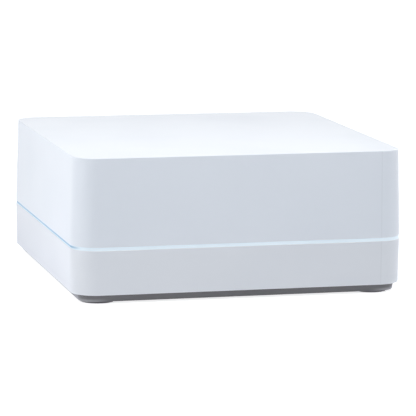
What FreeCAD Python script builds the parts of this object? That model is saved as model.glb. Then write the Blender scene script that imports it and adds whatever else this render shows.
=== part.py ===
import FreeCAD, Part
import math
import os
import Sketcher

# Smart lighting hub: a square two-part housing with a light line round it, on a grey base with
# round feet. The network and power sockets and the link button are in the rear wall.
# Millimetres. The origin is on the ground under the middle of the plan, +Z is up, the front
# faces -Y and the sockets face +Y.

doc = FreeCAD.newDocument("LightingHub")
sheet = doc.addObject("Spreadsheet::Sheet", "Sizes")

SIZES = (
    # Housing
    ("body_width", 127.0, "side of the square plan, at the light line"),
    ("corner_radius", 9.7, "outer corners, at the light line"),
    ("wall", 2.2, "wall of the cover and the band"),
    ("cover_height", 32.7, "from the light line to the top"),
    ("cover_roof", 2.4, "thickness of the top"),
    ("cover_draft", 1.6, "degrees that the cover narrows upwards"),
    ("top_edge_bevel", 0.45, "bevel along the top edge"),
    ("lip_bevel", 0.3, "bevels beside the light line"),
    ("roof_corner_bevel", 1.0, "slope between roof and walls, inside"),
    ("rib_width", 1.3, "ribs and webs inside the housing"),
    ("rib_depth", 2.6, "how far the ribs hang from the roof"),
    ("rib_spacing", 19.0, "from the middle to each roof rib"),
    ("band_draft", 0.75, "degrees that the band narrows downwards"),
    ("band_edge_bevel", 0.35, "bevel along the lower edge of the band"),
    ("band_flange", 4.6, "from the outer face to the inner edge of the flange"),
    ("band_flange_thickness", 1.75, "inward flange at the bottom of the band"),
    ("band_rib_depth", 1.3, "upright ribs inside the band"),
    ("band_rib_spacing", 12.5, "from the middle of a side to its ribs"),
    # Light guide
    ("light_gap", 1.25, "height of the light line"),
    ("guide_recess", 0.2, "from the outer face to the edge that glows"),
    ("hoop_clearance", 0.15, "between the hoop and the walls it locates"),
    ("hoop_thickness", 1.25, "upright hoop of the light guide"),
    ("hoop_reach", 1.5, "how far the hoop reaches into cover and band"),
    ("leg_width", 3.0, "light legs, along the side"),
    ("leg_thickness", 1.6, "light legs, across the side"),
    ("leg_from_corner", 23.5, "from the outer face of the next side to a leg"),
    ("leg_board_gap", 0.4, "from the edge of the board to a leg, across the side"),
    ("led_length", 2.1, "lamps under the legs, along the side"),
    ("led_height", 0.8, "lamps under the legs"),
    ("led_gap", 0.3, "between a lamp and its leg"),
    # Base and feet
    ("base_height", 2.85, "visible grey step under the band"),
    ("base_inset", 2.35, "from the outer face to the grey step"),
    ("base_corner_radius", 8.0, "corners of the grey step"),
    ("base_draft", 10.0, "degrees that the grey step narrows downwards"),
    ("base_edge_bevel", 0.5, "bevel along the underside"),
    ("base_floor", 1.8, "floor of the base"),
    ("base_fit", 0.15, "between the locating rim and the band flange"),
    ("base_rim", 1.0, "thickness of the locating rim"),
    ("vent_length", 30.0, "slots in the floor"),
    ("vent_width", 1.8, "slots in the floor"),
    ("vent_pitch", 5.0, "slots in the floor"),
    ("foot_diameter", 13.2, "round stick-on foot"),
    ("foot_thickness", 1.6, "round stick-on foot"),
    ("foot_recess", 0.8, "depth of the seat in the underside"),
    ("foot_fit", 0.1, "round the foot in its seat"),
    ("foot_margin", 1.75, "from the edge of the grey step to a foot"),
    # Corner posts and screws: each screw clamps a post, the board and a boss
    ("post_width", 8.2, "hollow square posts of the base, under the board"),
    ("post_height", 2.05, "from the floor of the base to the board"),
    ("boss_gap", 0.1, "between the board and the cover boss above it"),
    ("boss_width", 6.6, "square screw bosses of the cover"),
    ("web_above_hoop", 1.5, "from the hoop up to the webs of a boss"),
    ("screw_head_diameter", 5.5, "case screws"),
    ("screw_head_height", 1.9, "case screws"),
    ("screw_head_depth", 0.3, "from the foot's seat to the head"),
    ("screw_diameter", 2.5, "core of the case screws"),
    ("screw_fit", 0.35, "round the screw in the post and the board"),
    ("screw_bite", 8.0, "length of screw in the cover boss"),
    ("pilot_fit", 0.05, "round each screw core in its pilot hole"),
    ("pilot_run_out", 1.5, "pilot hole beyond the tip of a screw"),
    # Main board
    ("board_thickness", 1.6, "main board"),
    ("board_edge_gap", 0.25, "between the board and the locating rim"),
    ("board_corner_radius", 4.0, "corners of the main board"),
    # Network socket
    ("jack_headroom", 2.425, "from the tallest socket to the top of the band"),
    ("port_clearance", 0.2, "round each socket in the rear wall"),
    ("jack_x", 14.0, "middle of the network socket"),
    ("jack_width", 15.9, "shield, outside"),
    ("jack_height", 11.6, "shield, outside, above the board"),
    ("jack_depth", 21.0, "shield, outside"),
    ("jack_setback", 0.6, "from the outer face to the shield"),
    ("shield_thickness", 0.25, "folded sheet"),
    ("shield_fit", 0.05, "between shield and socket body"),
    ("shield_margin", 0.35, "shield set back round the plug opening"),
    ("mouth_width", 11.9, "plug opening"),
    ("mouth_height", 6.9, "plug opening above the latch slot"),
    ("mouth_roof", 1.5, "socket body above the plug opening"),
    ("mouth_depth", 13.0, "plug opening"),
    ("latch_width", 6.3, "slot for the latch of the plug"),
    ("latch_height", 1.5, "slot for the latch of the plug"),
    ("contact_pitch", 1.02, "spring contacts"),
    ("contact_width", 0.45, "spring contacts"),
    ("contact_thickness", 0.3, "spring contacts"),
    ("contact_setback", 2.2, "from the face to the bend of the contacts"),
    ("contact_bend", 1.2, "outer height of the bend"),
    ("contact_drop", 2.5, "how far the free ends hang below the roof"),
    ("contact_reach", 8.2, "from the bend to the free ends"),
    ("contact_tail", 1.0, "from the back of the mouth to the fixed ends"),
    # Power socket
    ("power_x", -17.0, "middle of the power socket"),
    ("power_width", 9.0, "socket body"),
    ("power_height", 11.0, "socket body, above the board"),
    ("power_depth", 14.4, "socket body"),
    ("power_collar", 3.4, "full-size collar at the face"),
    ("power_step", 0.7, "from the collar in to the barrel behind it"),
    ("power_axis", 6.5, "bore above the board"),
    ("power_bore", 6.4, "bore diameter"),
    ("power_bore_depth", 9.5, "bore"),
    ("power_pin", 2.0, "centre pin diameter"),
    ("power_pin_setback", 0.8, "from the face to the tip of the pin"),
    ("power_leaf_width", 2.2, "spring contact in the bore"),
    ("power_leaf_thickness", 0.3, "spring contact in the bore"),
    ("power_leaf_rise", 0.5, "bow of the spring contact"),
    ("power_leaf_setback", 2.0, "from the face to the spring contact"),
    ("power_wall_hole", 8.6, "round hole in the rear wall"),
    ("power_wall_gap", 0.2, "between the wall and the socket"),
    # Link button and switch
    ("link_x", -3.5, "middle of the button"),
    ("link_axis", 5.2, "button above the board"),
    ("link_cap_diameter", 5.6, "button"),
    ("link_cap_fit", 0.2, "round the button in the wall"),
    ("link_setback", 0.45, "from the outer face to the button"),
    ("link_flange", 1.1, "retaining flange beyond the cap"),
    ("link_flange_thickness", 0.8, "retaining flange"),
    ("link_flange_gap", 0.1, "between the flange and the wall"),
    ("link_travel", 0.5, "how far the button goes in"),
    ("link_edge_bevel", 0.4, "bevel along the edge of the button"),
    ("plunger_width", 3.0, "flat switch plunger"),
    ("plunger_height", 1.8, "flat switch plunger"),
    ("plunger_length", 3.2, "plunger outside the switch"),
    ("plunger_root", 0.8, "plunger inside the switch at rest"),
    ("plunger_fit", 0.06, "round the plunger"),
    ("plunger_spare", 0.2, "left behind the pressed plunger"),
    ("switch_width", 6.4, "switch body"),
    ("switch_depth", 3.8, "switch body"),
    ("switch_above_axis", 3.1, "switch body above the plunger's axis"),
    # Processor and its neighbours
    ("processor_side", 14.0, "square ball-grid package"),
    ("processor_height", 1.4, "ball-grid package"),
    ("processor_y", 4.0, "middle of the processor"),
    ("package_step", 1.0, "moulded cap in from the edge of its substrate"),
    ("substrate_height", 0.5, "substrate under a moulded cap"),
    ("memory_length", 13.0, "memory package"),
    ("memory_width", 9.0, "memory package"),
    ("memory_height", 1.2, "memory package"),
    ("memory_gap", 4.5, "from processor to memory"),
    ("flash_length", 5.2, "storage chip body"),
    ("flash_width", 5.3, "storage chip body"),
    ("flash_height", 1.9, "storage chip body"),
    ("flash_gap", 4.5, "from processor to the leads of the storage chip"),
    ("chip_capacitor_length", 1.6, "small ceramic capacitors"),
    ("chip_capacitor_width", 0.8, "small ceramic capacitors"),
    ("chip_capacitor_height", 0.8, "small ceramic capacitors"),
    ("chip_capacitor_pitch", 2.6, "small ceramic capacitors"),
    ("chip_capacitor_gap", 1.3, "from processor to the small capacitors"),
    ("crystal_length", 5.0, "crystal can"),
    ("crystal_width", 3.2, "crystal can"),
    ("crystal_height", 1.1, "crystal can"),
    ("crystal_gap", 1.2, "from the small capacitors to the crystal"),
    # Network parts
    ("magnetics_length", 12.7, "isolating transformer"),
    ("magnetics_width", 7.0, "isolating transformer"),
    ("magnetics_height", 3.9, "isolating transformer"),
    ("magnetics_gap", 4.0, "from the network socket to the transformer's leads"),
    ("network_side", 7.0, "network chip"),
    ("network_height", 0.9, "network chip"),
    ("network_gap", 2.5, "from the transformer to the network chip"),
    ("lead_width", 0.4, "gull-wing leads"),
    ("lead_pitch", 1.27, "gull-wing leads"),
    ("lead_reach", 1.0, "how far the leads stand out"),
    ("lead_thickness", 0.25, "gull-wing leads"),
    ("package_standoff", 0.15, "under a leaded package"),
    ("package_edge", 0.25, "bevel along the top of a moulded package"),
    # Radio and antenna
    ("radio_length", 20.0, "shield can of the radio"),
    ("radio_width", 15.0, "shield can of the radio"),
    ("radio_height", 2.6, "shield can of the radio"),
    ("radio_sheet", 0.2, "sheet of the shield can"),
    ("radio_edge", 0.5, "bevel along the top of the shield can"),
    ("radio_gap", 2.7, "from the crystal to the radio"),
    ("radio_chip_side", 6.0, "radio chip"),
    ("radio_chip_height", 0.9, "radio chip"),
    ("antenna_gap", 6.0, "from the radio to the antenna connector"),
    ("antenna_width", 42.0, "antenna board"),
    ("antenna_thickness", 1.0, "antenna board"),
    ("antenna_corner", 3.0, "cut corners of the antenna board"),
    ("antenna_headroom", 2.5, "from the antenna board to the roof ribs"),
    ("track_margin", 3.5, "from the edge of the antenna board to the track"),
    ("track_width", 1.2, "antenna track"),
    ("track_pitch", 4.2, "antenna track"),
    ("track_thickness", 0.1, "antenna track"),
    ("header_width", 10.2, "connector at the foot of the antenna board"),
    ("header_depth", 2.5, "connector at the foot of the antenna board"),
    ("header_height", 2.5, "connector at the foot of the antenna board"),
    # Supply
    ("capacitor_diameter", 8.0, "tall capacitors"),
    ("capacitor_height", 10.0, "tall capacitors"),
    ("capacitor_base", 0.9, "plastic foot of the tall capacitors"),
    ("capacitor_base_lip", 0.15, "plastic foot beyond the can"),
    ("capacitor_gap", 4.0, "from the power socket to the capacitors"),
    ("capacitor_pitch", 12.0, "between the tall capacitors"),
    ("inductor_side", 7.3, "power inductor"),
    ("inductor_height", 3.4, "power inductor"),
    ("inductor_chamfer", 1.4, "corners of the inductor"),
    ("regulator_length", 6.5, "regulator body"),
    ("regulator_width", 3.5, "regulator body"),
    ("regulator_height", 1.6, "regulator body"),
    ("regulator_tab", 3.0, "wide tab of the regulator"),
    ("regulator_lead", 0.7, "narrow leads of the regulator"),
    ("regulator_pitch", 2.3, "narrow leads of the regulator"),
    ("supply_gap", 4.0, "from the capacitors to inductor and regulator"),
)

for row, (alias, number, note) in enumerate(SIZES, start=1):
    sheet.set(f"A{row}", alias)
    sheet.set(f"B{row}", str(number))
    sheet.set(f"C{row}", note)
    sheet.setAlias(f"B{row}", alias)
doc.recompute()


def number_of(expression):
    return float(sheet.evalExpression(expression))


# Derived places are expressions on the sheet, so that every size that follows them is bound
HALF = "(Sizes.body_width / 2)"

# Heights above the ground
UNDERSIDE = "(Sizes.foot_thickness - Sizes.foot_recess)"
FOOT_SEAT = "(Sizes.foot_thickness)"
FLOOR_TOP = f"({UNDERSIDE} + Sizes.base_floor)"
BAND_BOTTOM = f"({UNDERSIDE} + Sizes.base_height)"
FLANGE_TOP = f"({BAND_BOTTOM} + Sizes.band_flange_thickness)"
BOARD_BOTTOM = f"({FLOOR_TOP} + Sizes.post_height)"
BOARD_TOP = f"({BOARD_BOTTOM} + Sizes.board_thickness)"
TALLEST_SOCKET = "max(Sizes.jack_height; Sizes.power_height)"
BAND_TOP = f"({BOARD_TOP} + {TALLEST_SOCKET} + Sizes.jack_headroom)"
BAND_HEIGHT = f"({BAND_TOP} - {BAND_BOTTOM})"
COVER_RIM = f"({BAND_TOP} + Sizes.light_gap)"
COVER_TOP = f"({COVER_RIM} + Sizes.cover_height)"
ROOF_UNDER = f"({COVER_TOP} - Sizes.cover_roof)"
ROOF_MIDDLE = f"({COVER_TOP} - Sizes.cover_roof / 2)"
RIB_BOTTOM = f"({ROOF_UNDER} - Sizes.rib_depth)"
HOOP_BOTTOM = f"({BAND_TOP} - Sizes.hoop_reach)"
HOOP_HEIGHT = "(Sizes.light_gap + 2 * Sizes.hoop_reach)"
LEG_BOTTOM = f"({BOARD_TOP} + Sizes.led_height + Sizes.led_gap)"
BOSS_BOTTOM = f"({BOARD_TOP} + Sizes.boss_gap)"
WEB_BOTTOM = f"({HOOP_BOTTOM} + {HOOP_HEIGHT} + Sizes.web_above_hoop)"
HEAD_BOTTOM = f"({FOOT_SEAT} + Sizes.screw_head_depth)"
HEAD_TOP = f"({HEAD_BOTTOM} + Sizes.screw_head_height)"
POWER_AXIS_Z = f"({BOARD_TOP} + Sizes.power_axis)"
LINK_AXIS_Z = f"({BOARD_TOP} + Sizes.link_axis)"

# Distances in from the outer face
RIM_OUTER = "(Sizes.band_flange + Sizes.base_fit)"
RIM_INNER = f"({RIM_OUTER} + Sizes.base_rim)"
BOARD_EDGE = f"({RIM_INNER} + Sizes.board_edge_gap)"
HOOP_OUTER = "(Sizes.wall + Sizes.hoop_clearance)"
HOOP_INNER = f"({HOOP_OUTER} + Sizes.hoop_thickness)"
LEG_OUTER = f"({BOARD_EDGE} + Sizes.leg_board_gap)"
LEG_INNER = f"({LEG_OUTER} + Sizes.leg_thickness)"
POST_IN = "(Sizes.base_inset + Sizes.foot_margin + Sizes.foot_diameter / 2)"

# Distances from the middle of the plan
POST_AT = f"({HALF} - {POST_IN})"
LEG_AT = f"({HALF} - Sizes.leg_from_corner)"
BOARD_HALF = f"({HALF} - {BOARD_EDGE})"
JACK_FACE = f"({HALF} - Sizes.jack_setback)"
JACK_BACK = f"({JACK_FACE} - Sizes.jack_depth)"
POWER_FACE = f"({HALF} - Sizes.wall - Sizes.power_wall_gap)"
POWER_BACK = f"({POWER_FACE} - Sizes.power_depth)"
LINK_FACE = f"({HALF} - Sizes.link_setback)"
LINK_FLANGE_FRONT = f"({HALF} - Sizes.wall - Sizes.link_flange_gap)"
LINK_FLANGE_BACK = f"({LINK_FLANGE_FRONT} - Sizes.link_flange_thickness)"
SWITCH_FRONT = f"({LINK_FLANGE_BACK} - Sizes.plunger_length)"

QUARTERS = ((1, 1), (-1, 1), (-1, -1), (1, -1))
VENT_COUNT = 7
TINY = 1e-4


# Drawing helpers: every coordinate and radius is an expression that stays bound to the sheet

def new_body(label):
    return doc.addObject("PartDesign::Body", label)


def origin_feature(body, role):
    return [item for item in body.Origin.OriginFeatures if item.Role == role][0]


def new_sketch(body, role, name, offset):
    sketch = body.newObject("Sketcher::SketchObject", f"{body.Name}_{name}")
    sketch.AttachmentSupport = [(origin_feature(body, role), "")]
    sketch.MapMode = "FlatFace"
    sketch.setExpression("AttachmentOffset.Base.z", offset)
    return sketch


def hold(sketch, kind, picks, expression):
    index = sketch.addConstraint(Sketcher.Constraint(kind, *picks, number_of(expression)))
    sketch.setExpression(f"Constraints[{index}]", expression)


def hold_point(sketch, geometry, point, across, up):
    hold(sketch, "DistanceX", (-1, 1, geometry, point), across)
    hold(sketch, "DistanceY", (-1, 1, geometry, point), up)


def draw_polygon(sketch, corners):
    points = [FreeCAD.Vector(number_of(across), number_of(up), 0) for across, up in corners]
    first = sketch.GeometryCount
    count = len(points)
    for index, start in enumerate(points):
        sketch.addGeometry(Part.LineSegment(start, points[(index + 1) % count]), False)
    for index in range(count):
        following = first + (index + 1) % count
        sketch.addConstraint(Sketcher.Constraint("Coincident", first + index, 2, following, 1))
    for index, (across, up) in enumerate(corners):
        hold_point(sketch, first + index, 1, across, up)


def draw_rectangle(sketch, left, right, low, high):
    draw_polygon(sketch, ((left, low), (right, low), (right, high), (left, high)))


def draw_block(sketch, across, up, width, height):
    draw_rectangle(
        sketch,
        f"{across} - {width} / 2",
        f"{across} + {width} / 2",
        f"{up} - {height} / 2",
        f"{up} + {height} / 2",
    )


def draw_circle(sketch, across, up, diameter):
    centre = FreeCAD.Vector(number_of(across), number_of(up), 0)
    normal = FreeCAD.Vector(0, 0, 1)
    radius = number_of(diameter) / 2
    index = sketch.addGeometry(Part.Circle(centre, normal, radius), False)
    hold_point(sketch, index, 3, across, up)
    hold(sketch, "Diameter", (index,), diameter)


def draw_rounded_square(sketch, half, radius):
    # Four corner arcs, each joined to the next by a tangent line
    reach = number_of(half)
    bend = number_of(radius)
    inner = reach - bend
    normal = FreeCAD.Vector(0, 0, 1)
    quarter = math.pi / 2
    first = sketch.GeometryCount
    ends = []
    for index, (side_x, side_y) in enumerate(QUARTERS):
        centre = FreeCAD.Vector(side_x * inner, side_y * inner, 0)
        circle = Part.Circle(centre, normal, bend)
        arc = Part.ArcOfCircle(circle, index * quarter, (index + 1) * quarter)
        sketch.addGeometry(arc, False)
        ends.append((arc.StartPoint, arc.EndPoint))
    for index in range(4):
        sketch.addGeometry(Part.LineSegment(ends[index][1], ends[(index + 1) % 4][0]), False)
    for index, (side_x, side_y) in enumerate(QUARTERS):
        line = first + 4 + index
        sketch.addConstraint(Sketcher.Constraint("Tangent", first + index, 2, line, 1))
        sketch.addConstraint(Sketcher.Constraint("Tangent", line, 2, first + (index + 1) % 4, 1))
        reach_x = f"{side_x} * ({half} - {radius})"
        reach_y = f"{side_y} * ({half} - {radius})"
        hold_point(sketch, first + index, 3, reach_x, reach_y)
        hold(sketch, "Radius", (first + index,), radius)


def extrude(body, kind, sketch, length, backwards=False, symmetric=False, taper=None):
    feature = body.newObject(kind, f"{sketch.Name}_{kind.split('::')[1].lower()}")
    feature.Profile = sketch
    feature.setExpression("Length", length)
    feature.Reversed = backwards
    if symmetric:
        feature.SideType = "Symmetric"
    if taper is not None:
        feature.setExpression("TaperAngle", taper)
    sketch.Visibility = False
    doc.recompute()
    return feature


def pad(body, sketch, length, **options):
    return extrude(body, "PartDesign::Pad", sketch, length, **options)


def pocket(body, sketch, length, **options):
    before = body.Shape.Volume
    feature = extrude(body, "PartDesign::Pocket", sketch, length, **options)
    if not body.Shape.Volume < before:
        raise RuntimeError(f"{feature.Name} cuts nothing")
    return feature


def edges_where(shape, test):
    return [f"Edge{index}" for index, edge in enumerate(shape.Edges, start=1) if test(edge)]


def edges_at_height(shape, height):
    level = number_of(height)
    return edges_where(
        shape,
        lambda edge: max(abs(edge.BoundBox.ZMin - level), abs(edge.BoundBox.ZMax - level)) < TINY,
    )


def edges_at_depth(shape, depth):
    level = number_of(depth)
    return edges_where(
        shape,
        lambda edge: max(abs(edge.BoundBox.YMin - level), abs(edge.BoundBox.YMax - level)) < TINY,
    )


def chamfer(body, edges, name, size):
    base = body.Tip
    feature = body.newObject("PartDesign::Chamfer", f"{body.Name}_{name}")
    feature.Base = (base, edges)
    feature.setExpression("Size", size)
    doc.recompute()
    return feature


def polar_pattern(body, features, name, count):
    feature = body.newObject("PartDesign::PolarPattern", f"{body.Name}_{name}")
    feature.Originals = features
    feature.Axis = (origin_feature(body, "Z_Axis"), [""])
    feature.Angle = 360
    feature.Occurrences = count
    body.Tip = feature
    doc.recompute()
    return feature


def linear_pattern(body, features, name, axis, length, count):
    feature = body.newObject("PartDesign::LinearPattern", f"{body.Name}_{name}")
    feature.Originals = features
    feature.Direction = (origin_feature(body, axis), [""])
    feature.setExpression("Length", length)
    feature.Occurrences = count
    body.Tip = feature
    doc.recompute()
    return feature


# Housing

def make_top_cover():
    body = new_body("top_cover")
    outline = new_sketch(body, "XY_Plane", "outline", COVER_RIM)
    draw_rounded_square(outline, HALF, "Sizes.corner_radius")
    pad(body, outline, "Sizes.cover_height", taper="-Sizes.cover_draft")
    chamfer(body, edges_at_height(body.Shape, COVER_TOP), "top_edge", "Sizes.top_edge_bevel")
    chamfer(body, edges_at_height(body.Shape, COVER_RIM), "rim_edge", "Sizes.lip_bevel")

    hollow = new_sketch(body, "XY_Plane", "hollow", COVER_RIM)
    draw_rounded_square(hollow, f"({HALF} - Sizes.wall)", "(Sizes.corner_radius - Sizes.wall)")
    depth = "Sizes.cover_height - Sizes.cover_roof"
    pocket(body, hollow, depth, backwards=True, taper="-Sizes.cover_draft")
    chamfer(body, edges_at_height(body.Shape, ROOF_UNDER), "roof_corner", "Sizes.roof_corner_bevel")

    # Where the ribs and webs end: inside the wall, at every height
    wall_bite = f"({HALF} - Sizes.wall / 2 - tan(Sizes.cover_draft) * Sizes.cover_height)"

    bosses = new_sketch(body, "XY_Plane", "bosses", BOSS_BOTTOM)
    for side_x, side_y in QUARTERS:
        draw_block(bosses, f"{side_x} * {POST_AT}", f"{side_y} * {POST_AT}",
                   "Sizes.boss_width", "Sizes.boss_width")
    pad(body, bosses, f"{ROOF_MIDDLE} - {BOSS_BOTTOM}")

    for direction in ("x", "y"):
        webs = new_sketch(body, "XY_Plane", f"webs_{direction}", WEB_BOTTOM)
        for side_x, side_y in QUARTERS:
            near_x = f"{side_x} * {POST_AT}"
            near_y = f"{side_y} * {POST_AT}"
            if direction == "x":
                draw_rectangle(webs, near_x, f"{side_x} * {wall_bite}",
                               f"{near_y} - Sizes.rib_width / 2", f"{near_y} + Sizes.rib_width / 2")
            else:
                draw_rectangle(webs, f"{near_x} - Sizes.rib_width / 2", f"{near_x} + Sizes.rib_width / 2",
                               near_y, f"{side_y} * {wall_bite}")
        pad(body, webs, f"{ROOF_MIDDLE} - {WEB_BOTTOM}")

        ribs = new_sketch(body, "XY_Plane", f"ribs_{direction}", RIB_BOTTOM)
        for side in (-1, 1):
            low = f"{side} * Sizes.rib_spacing - Sizes.rib_width / 2"
            high = f"{side} * Sizes.rib_spacing + Sizes.rib_width / 2"
            if direction == "x":
                draw_rectangle(ribs, f"-{wall_bite}", wall_bite, low, high)
            else:
                draw_rectangle(ribs, low, high, f"-{wall_bite}", wall_bite)
        pad(body, ribs, f"{ROOF_MIDDLE} - {RIB_BOTTOM}")

    pilots = new_sketch(body, "XY_Plane", "pilots", BOSS_BOTTOM)
    for side_x, side_y in QUARTERS:
        draw_circle(pilots, f"{side_x} * {POST_AT}", f"{side_y} * {POST_AT}",
                    "Sizes.screw_diameter + 2 * Sizes.pilot_fit")
    pocket(body, pilots, "Sizes.screw_bite + Sizes.pilot_run_out", backwards=True)
    return body


def make_light_guide():
    body = new_body("light_guide")
    flange = new_sketch(body, "XY_Plane", "flange", BAND_TOP)
    glow = "(Sizes.corner_radius - Sizes.guide_recess)"
    draw_rounded_square(flange, f"({HALF} - Sizes.guide_recess)", glow)
    draw_rounded_square(flange, f"({HALF} - {HOOP_INNER})", f"(Sizes.corner_radius - {HOOP_INNER})")
    pad(body, flange, "Sizes.light_gap")

    hoop = new_sketch(body, "XY_Plane", "hoop", HOOP_BOTTOM)
    draw_rounded_square(hoop, f"({HALF} - {HOOP_OUTER})", f"(Sizes.corner_radius - {HOOP_OUTER})")
    draw_rounded_square(hoop, f"({HALF} - {HOOP_INNER})", f"(Sizes.corner_radius - {HOOP_INNER})")
    pad(body, hoop, HOOP_HEIGHT)

    # A leg takes light up from its lamp, and a 45 degree facet turns it outwards
    root = f"-({HALF} - {HOOP_INNER} + Sizes.hoop_thickness / 2)"
    outer = f"-({HALF} - {LEG_OUTER})"
    inner = f"-({HALF} - {LEG_INNER})"
    legs = []
    for name, side in (("left", -1), ("right", 1)):
        leg = new_sketch(body, "YZ_Plane", f"leg_{name}", f"{side} * {LEG_AT}")
        draw_polygon(leg, (
            (root, BAND_TOP),
            (outer, BAND_TOP),
            (outer, LEG_BOTTOM),
            (inner, LEG_BOTTOM),
            (inner, f"{COVER_RIM} - Sizes.leg_thickness"),
            (outer, COVER_RIM),
            (root, COVER_RIM),
        ))
        legs.append(pad(body, leg, "Sizes.leg_width", symmetric=True))
    polar_pattern(body, legs, "leg_pattern", 4)
    return body


def make_lower_band():
    body = new_body("lower_band")
    outline = new_sketch(body, "XY_Plane", "outline", BAND_TOP)
    draw_rounded_square(outline, HALF, "Sizes.corner_radius")
    pad(body, outline, BAND_HEIGHT, backwards=True, taper="-Sizes.band_draft")
    chamfer(body, edges_at_height(body.Shape, BAND_BOTTOM), "lower_edge", "Sizes.band_edge_bevel")
    chamfer(body, edges_at_height(body.Shape, BAND_TOP), "lip", "Sizes.lip_bevel")

    hollow = new_sketch(body, "XY_Plane", "hollow", BAND_TOP)
    draw_rounded_square(hollow, f"({HALF} - Sizes.wall)", "(Sizes.corner_radius - Sizes.wall)")
    pocket(body, hollow, f"{BAND_TOP} - {FLANGE_TOP}")

    # Upright ribs inside the front and side walls
    ribs = new_sketch(body, "XY_Plane", "ribs", BAND_BOTTOM)
    wall_bite = f"({HALF} - Sizes.wall + Sizes.band_rib_depth / 2)"
    rib_end = f"({HALF} - Sizes.wall - Sizes.band_rib_depth)"
    for side in (-1, 1):
        low = f"{side} * Sizes.band_rib_spacing - Sizes.rib_width / 2"
        high = f"{side} * Sizes.band_rib_spacing + Sizes.rib_width / 2"
        draw_rectangle(ribs, low, high, f"-{wall_bite}", f"-{rib_end}")
        draw_rectangle(ribs, f"-{wall_bite}", f"-{rib_end}", low, high)
        draw_rectangle(ribs, rib_end, wall_bite, low, high)
    pad(body, ribs, f"{HOOP_BOTTOM} - {BAND_BOTTOM} - Sizes.hoop_clearance")

    opening = new_sketch(body, "XY_Plane", "opening", FLANGE_TOP)
    draw_rounded_square(opening, f"({HALF} - Sizes.band_flange)", "(Sizes.corner_radius - Sizes.band_flange)")
    pocket(body, opening, "Sizes.band_flange_thickness")

    ports = new_sketch(body, "XZ_Plane", "ports", "0")
    draw_rectangle(
        ports,
        "Sizes.jack_x - Sizes.jack_width / 2 - Sizes.port_clearance",
        "Sizes.jack_x + Sizes.jack_width / 2 + Sizes.port_clearance",
        f"{BOARD_TOP} - Sizes.port_clearance",
        f"{BOARD_TOP} + Sizes.jack_height + Sizes.port_clearance",
    )
    draw_circle(ports, "Sizes.power_x", POWER_AXIS_Z, "Sizes.power_wall_hole")
    draw_circle(ports, "Sizes.link_x", LINK_AXIS_Z, "Sizes.link_cap_diameter + 2 * Sizes.link_cap_fit")
    pocket(body, ports, "Sizes.body_width")
    return body


def make_base_plate():
    body = new_body("base_plate")
    outline = new_sketch(body, "XY_Plane", "outline", BAND_BOTTOM)
    draw_rounded_square(outline, f"({HALF} - Sizes.base_inset)", "Sizes.base_corner_radius")
    pad(body, outline, "Sizes.base_height", backwards=True, taper="-Sizes.base_draft")
    chamfer(body, edges_at_height(body.Shape, UNDERSIDE), "lower_edge", "Sizes.base_edge_bevel")

    tray = new_sketch(body, "XY_Plane", "tray", BAND_BOTTOM)
    inner_radius = f"(Sizes.corner_radius - {RIM_INNER})"
    draw_rounded_square(tray, f"({HALF} - {RIM_INNER})", inner_radius)
    pocket(body, tray, "Sizes.base_height - Sizes.base_floor")

    rim = new_sketch(body, "XY_Plane", "rim", BAND_BOTTOM)
    draw_rounded_square(rim, f"({HALF} - {RIM_OUTER})", f"(Sizes.corner_radius - {RIM_OUTER})")
    draw_rounded_square(rim, f"({HALF} - {RIM_INNER})", inner_radius)
    pad(body, rim, "Sizes.band_flange_thickness")

    posts = new_sketch(body, "XY_Plane", "posts", UNDERSIDE)
    seats = new_sketch(body, "XY_Plane", "seats", UNDERSIDE)
    heads = new_sketch(body, "XY_Plane", "heads", UNDERSIDE)
    shanks = new_sketch(body, "XY_Plane", "shanks", UNDERSIDE)
    for side_x, side_y in QUARTERS:
        place = (f"{side_x} * {POST_AT}", f"{side_y} * {POST_AT}")
        draw_block(posts, *place, "Sizes.post_width", "Sizes.post_width")
        draw_circle(seats, *place, "Sizes.foot_diameter + 2 * Sizes.foot_fit")
        draw_circle(heads, *place, "Sizes.screw_head_diameter + 2 * Sizes.foot_fit")
        draw_circle(shanks, *place, "Sizes.screw_diameter + 2 * Sizes.screw_fit")
    pad(body, posts, f"{BOARD_BOTTOM} - {UNDERSIDE}")
    pocket(body, seats, "Sizes.foot_recess", backwards=True)
    pocket(body, heads, f"{HEAD_TOP} - {UNDERSIDE}", backwards=True)
    pocket(body, shanks, f"{BOARD_BOTTOM} - {UNDERSIDE}", backwards=True)

    vents = new_sketch(body, "XY_Plane", "vents", FLOOR_TOP)
    for index in range(VENT_COUNT):
        middle = f"{index - (VENT_COUNT - 1) / 2} * Sizes.vent_pitch"
        draw_block(vents, "0", middle, "Sizes.vent_length", "Sizes.vent_width")
    pocket(body, vents, "Sizes.base_floor")
    return body


def make_foot(name, side_x, side_y):
    body = new_body(name)
    disc = new_sketch(body, "XY_Plane", "disc", "0")
    draw_circle(disc, "0", "0", "Sizes.foot_diameter")
    pad(body, disc, "Sizes.foot_thickness")
    body.setExpression("Placement.Base.x", f"{side_x} * {POST_AT}")
    body.setExpression("Placement.Base.y", f"{side_y} * {POST_AT}")
    return body


def make_case_screws():
    body = new_body("case_screws")
    heads = new_sketch(body, "XY_Plane", "heads", HEAD_TOP)
    cores = new_sketch(body, "XY_Plane", "cores", HEAD_TOP)
    for side_x, side_y in QUARTERS:
        place = (f"{side_x} * {POST_AT}", f"{side_y} * {POST_AT}")
        draw_circle(heads, *place, "Sizes.screw_head_diameter")
        draw_circle(cores, *place, "Sizes.screw_diameter")
    pad(body, heads, "Sizes.screw_head_height", backwards=True)
    pad(body, cores, f"{BOSS_BOTTOM} + Sizes.screw_bite - {HEAD_TOP}")
    return body


# Boards

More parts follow.
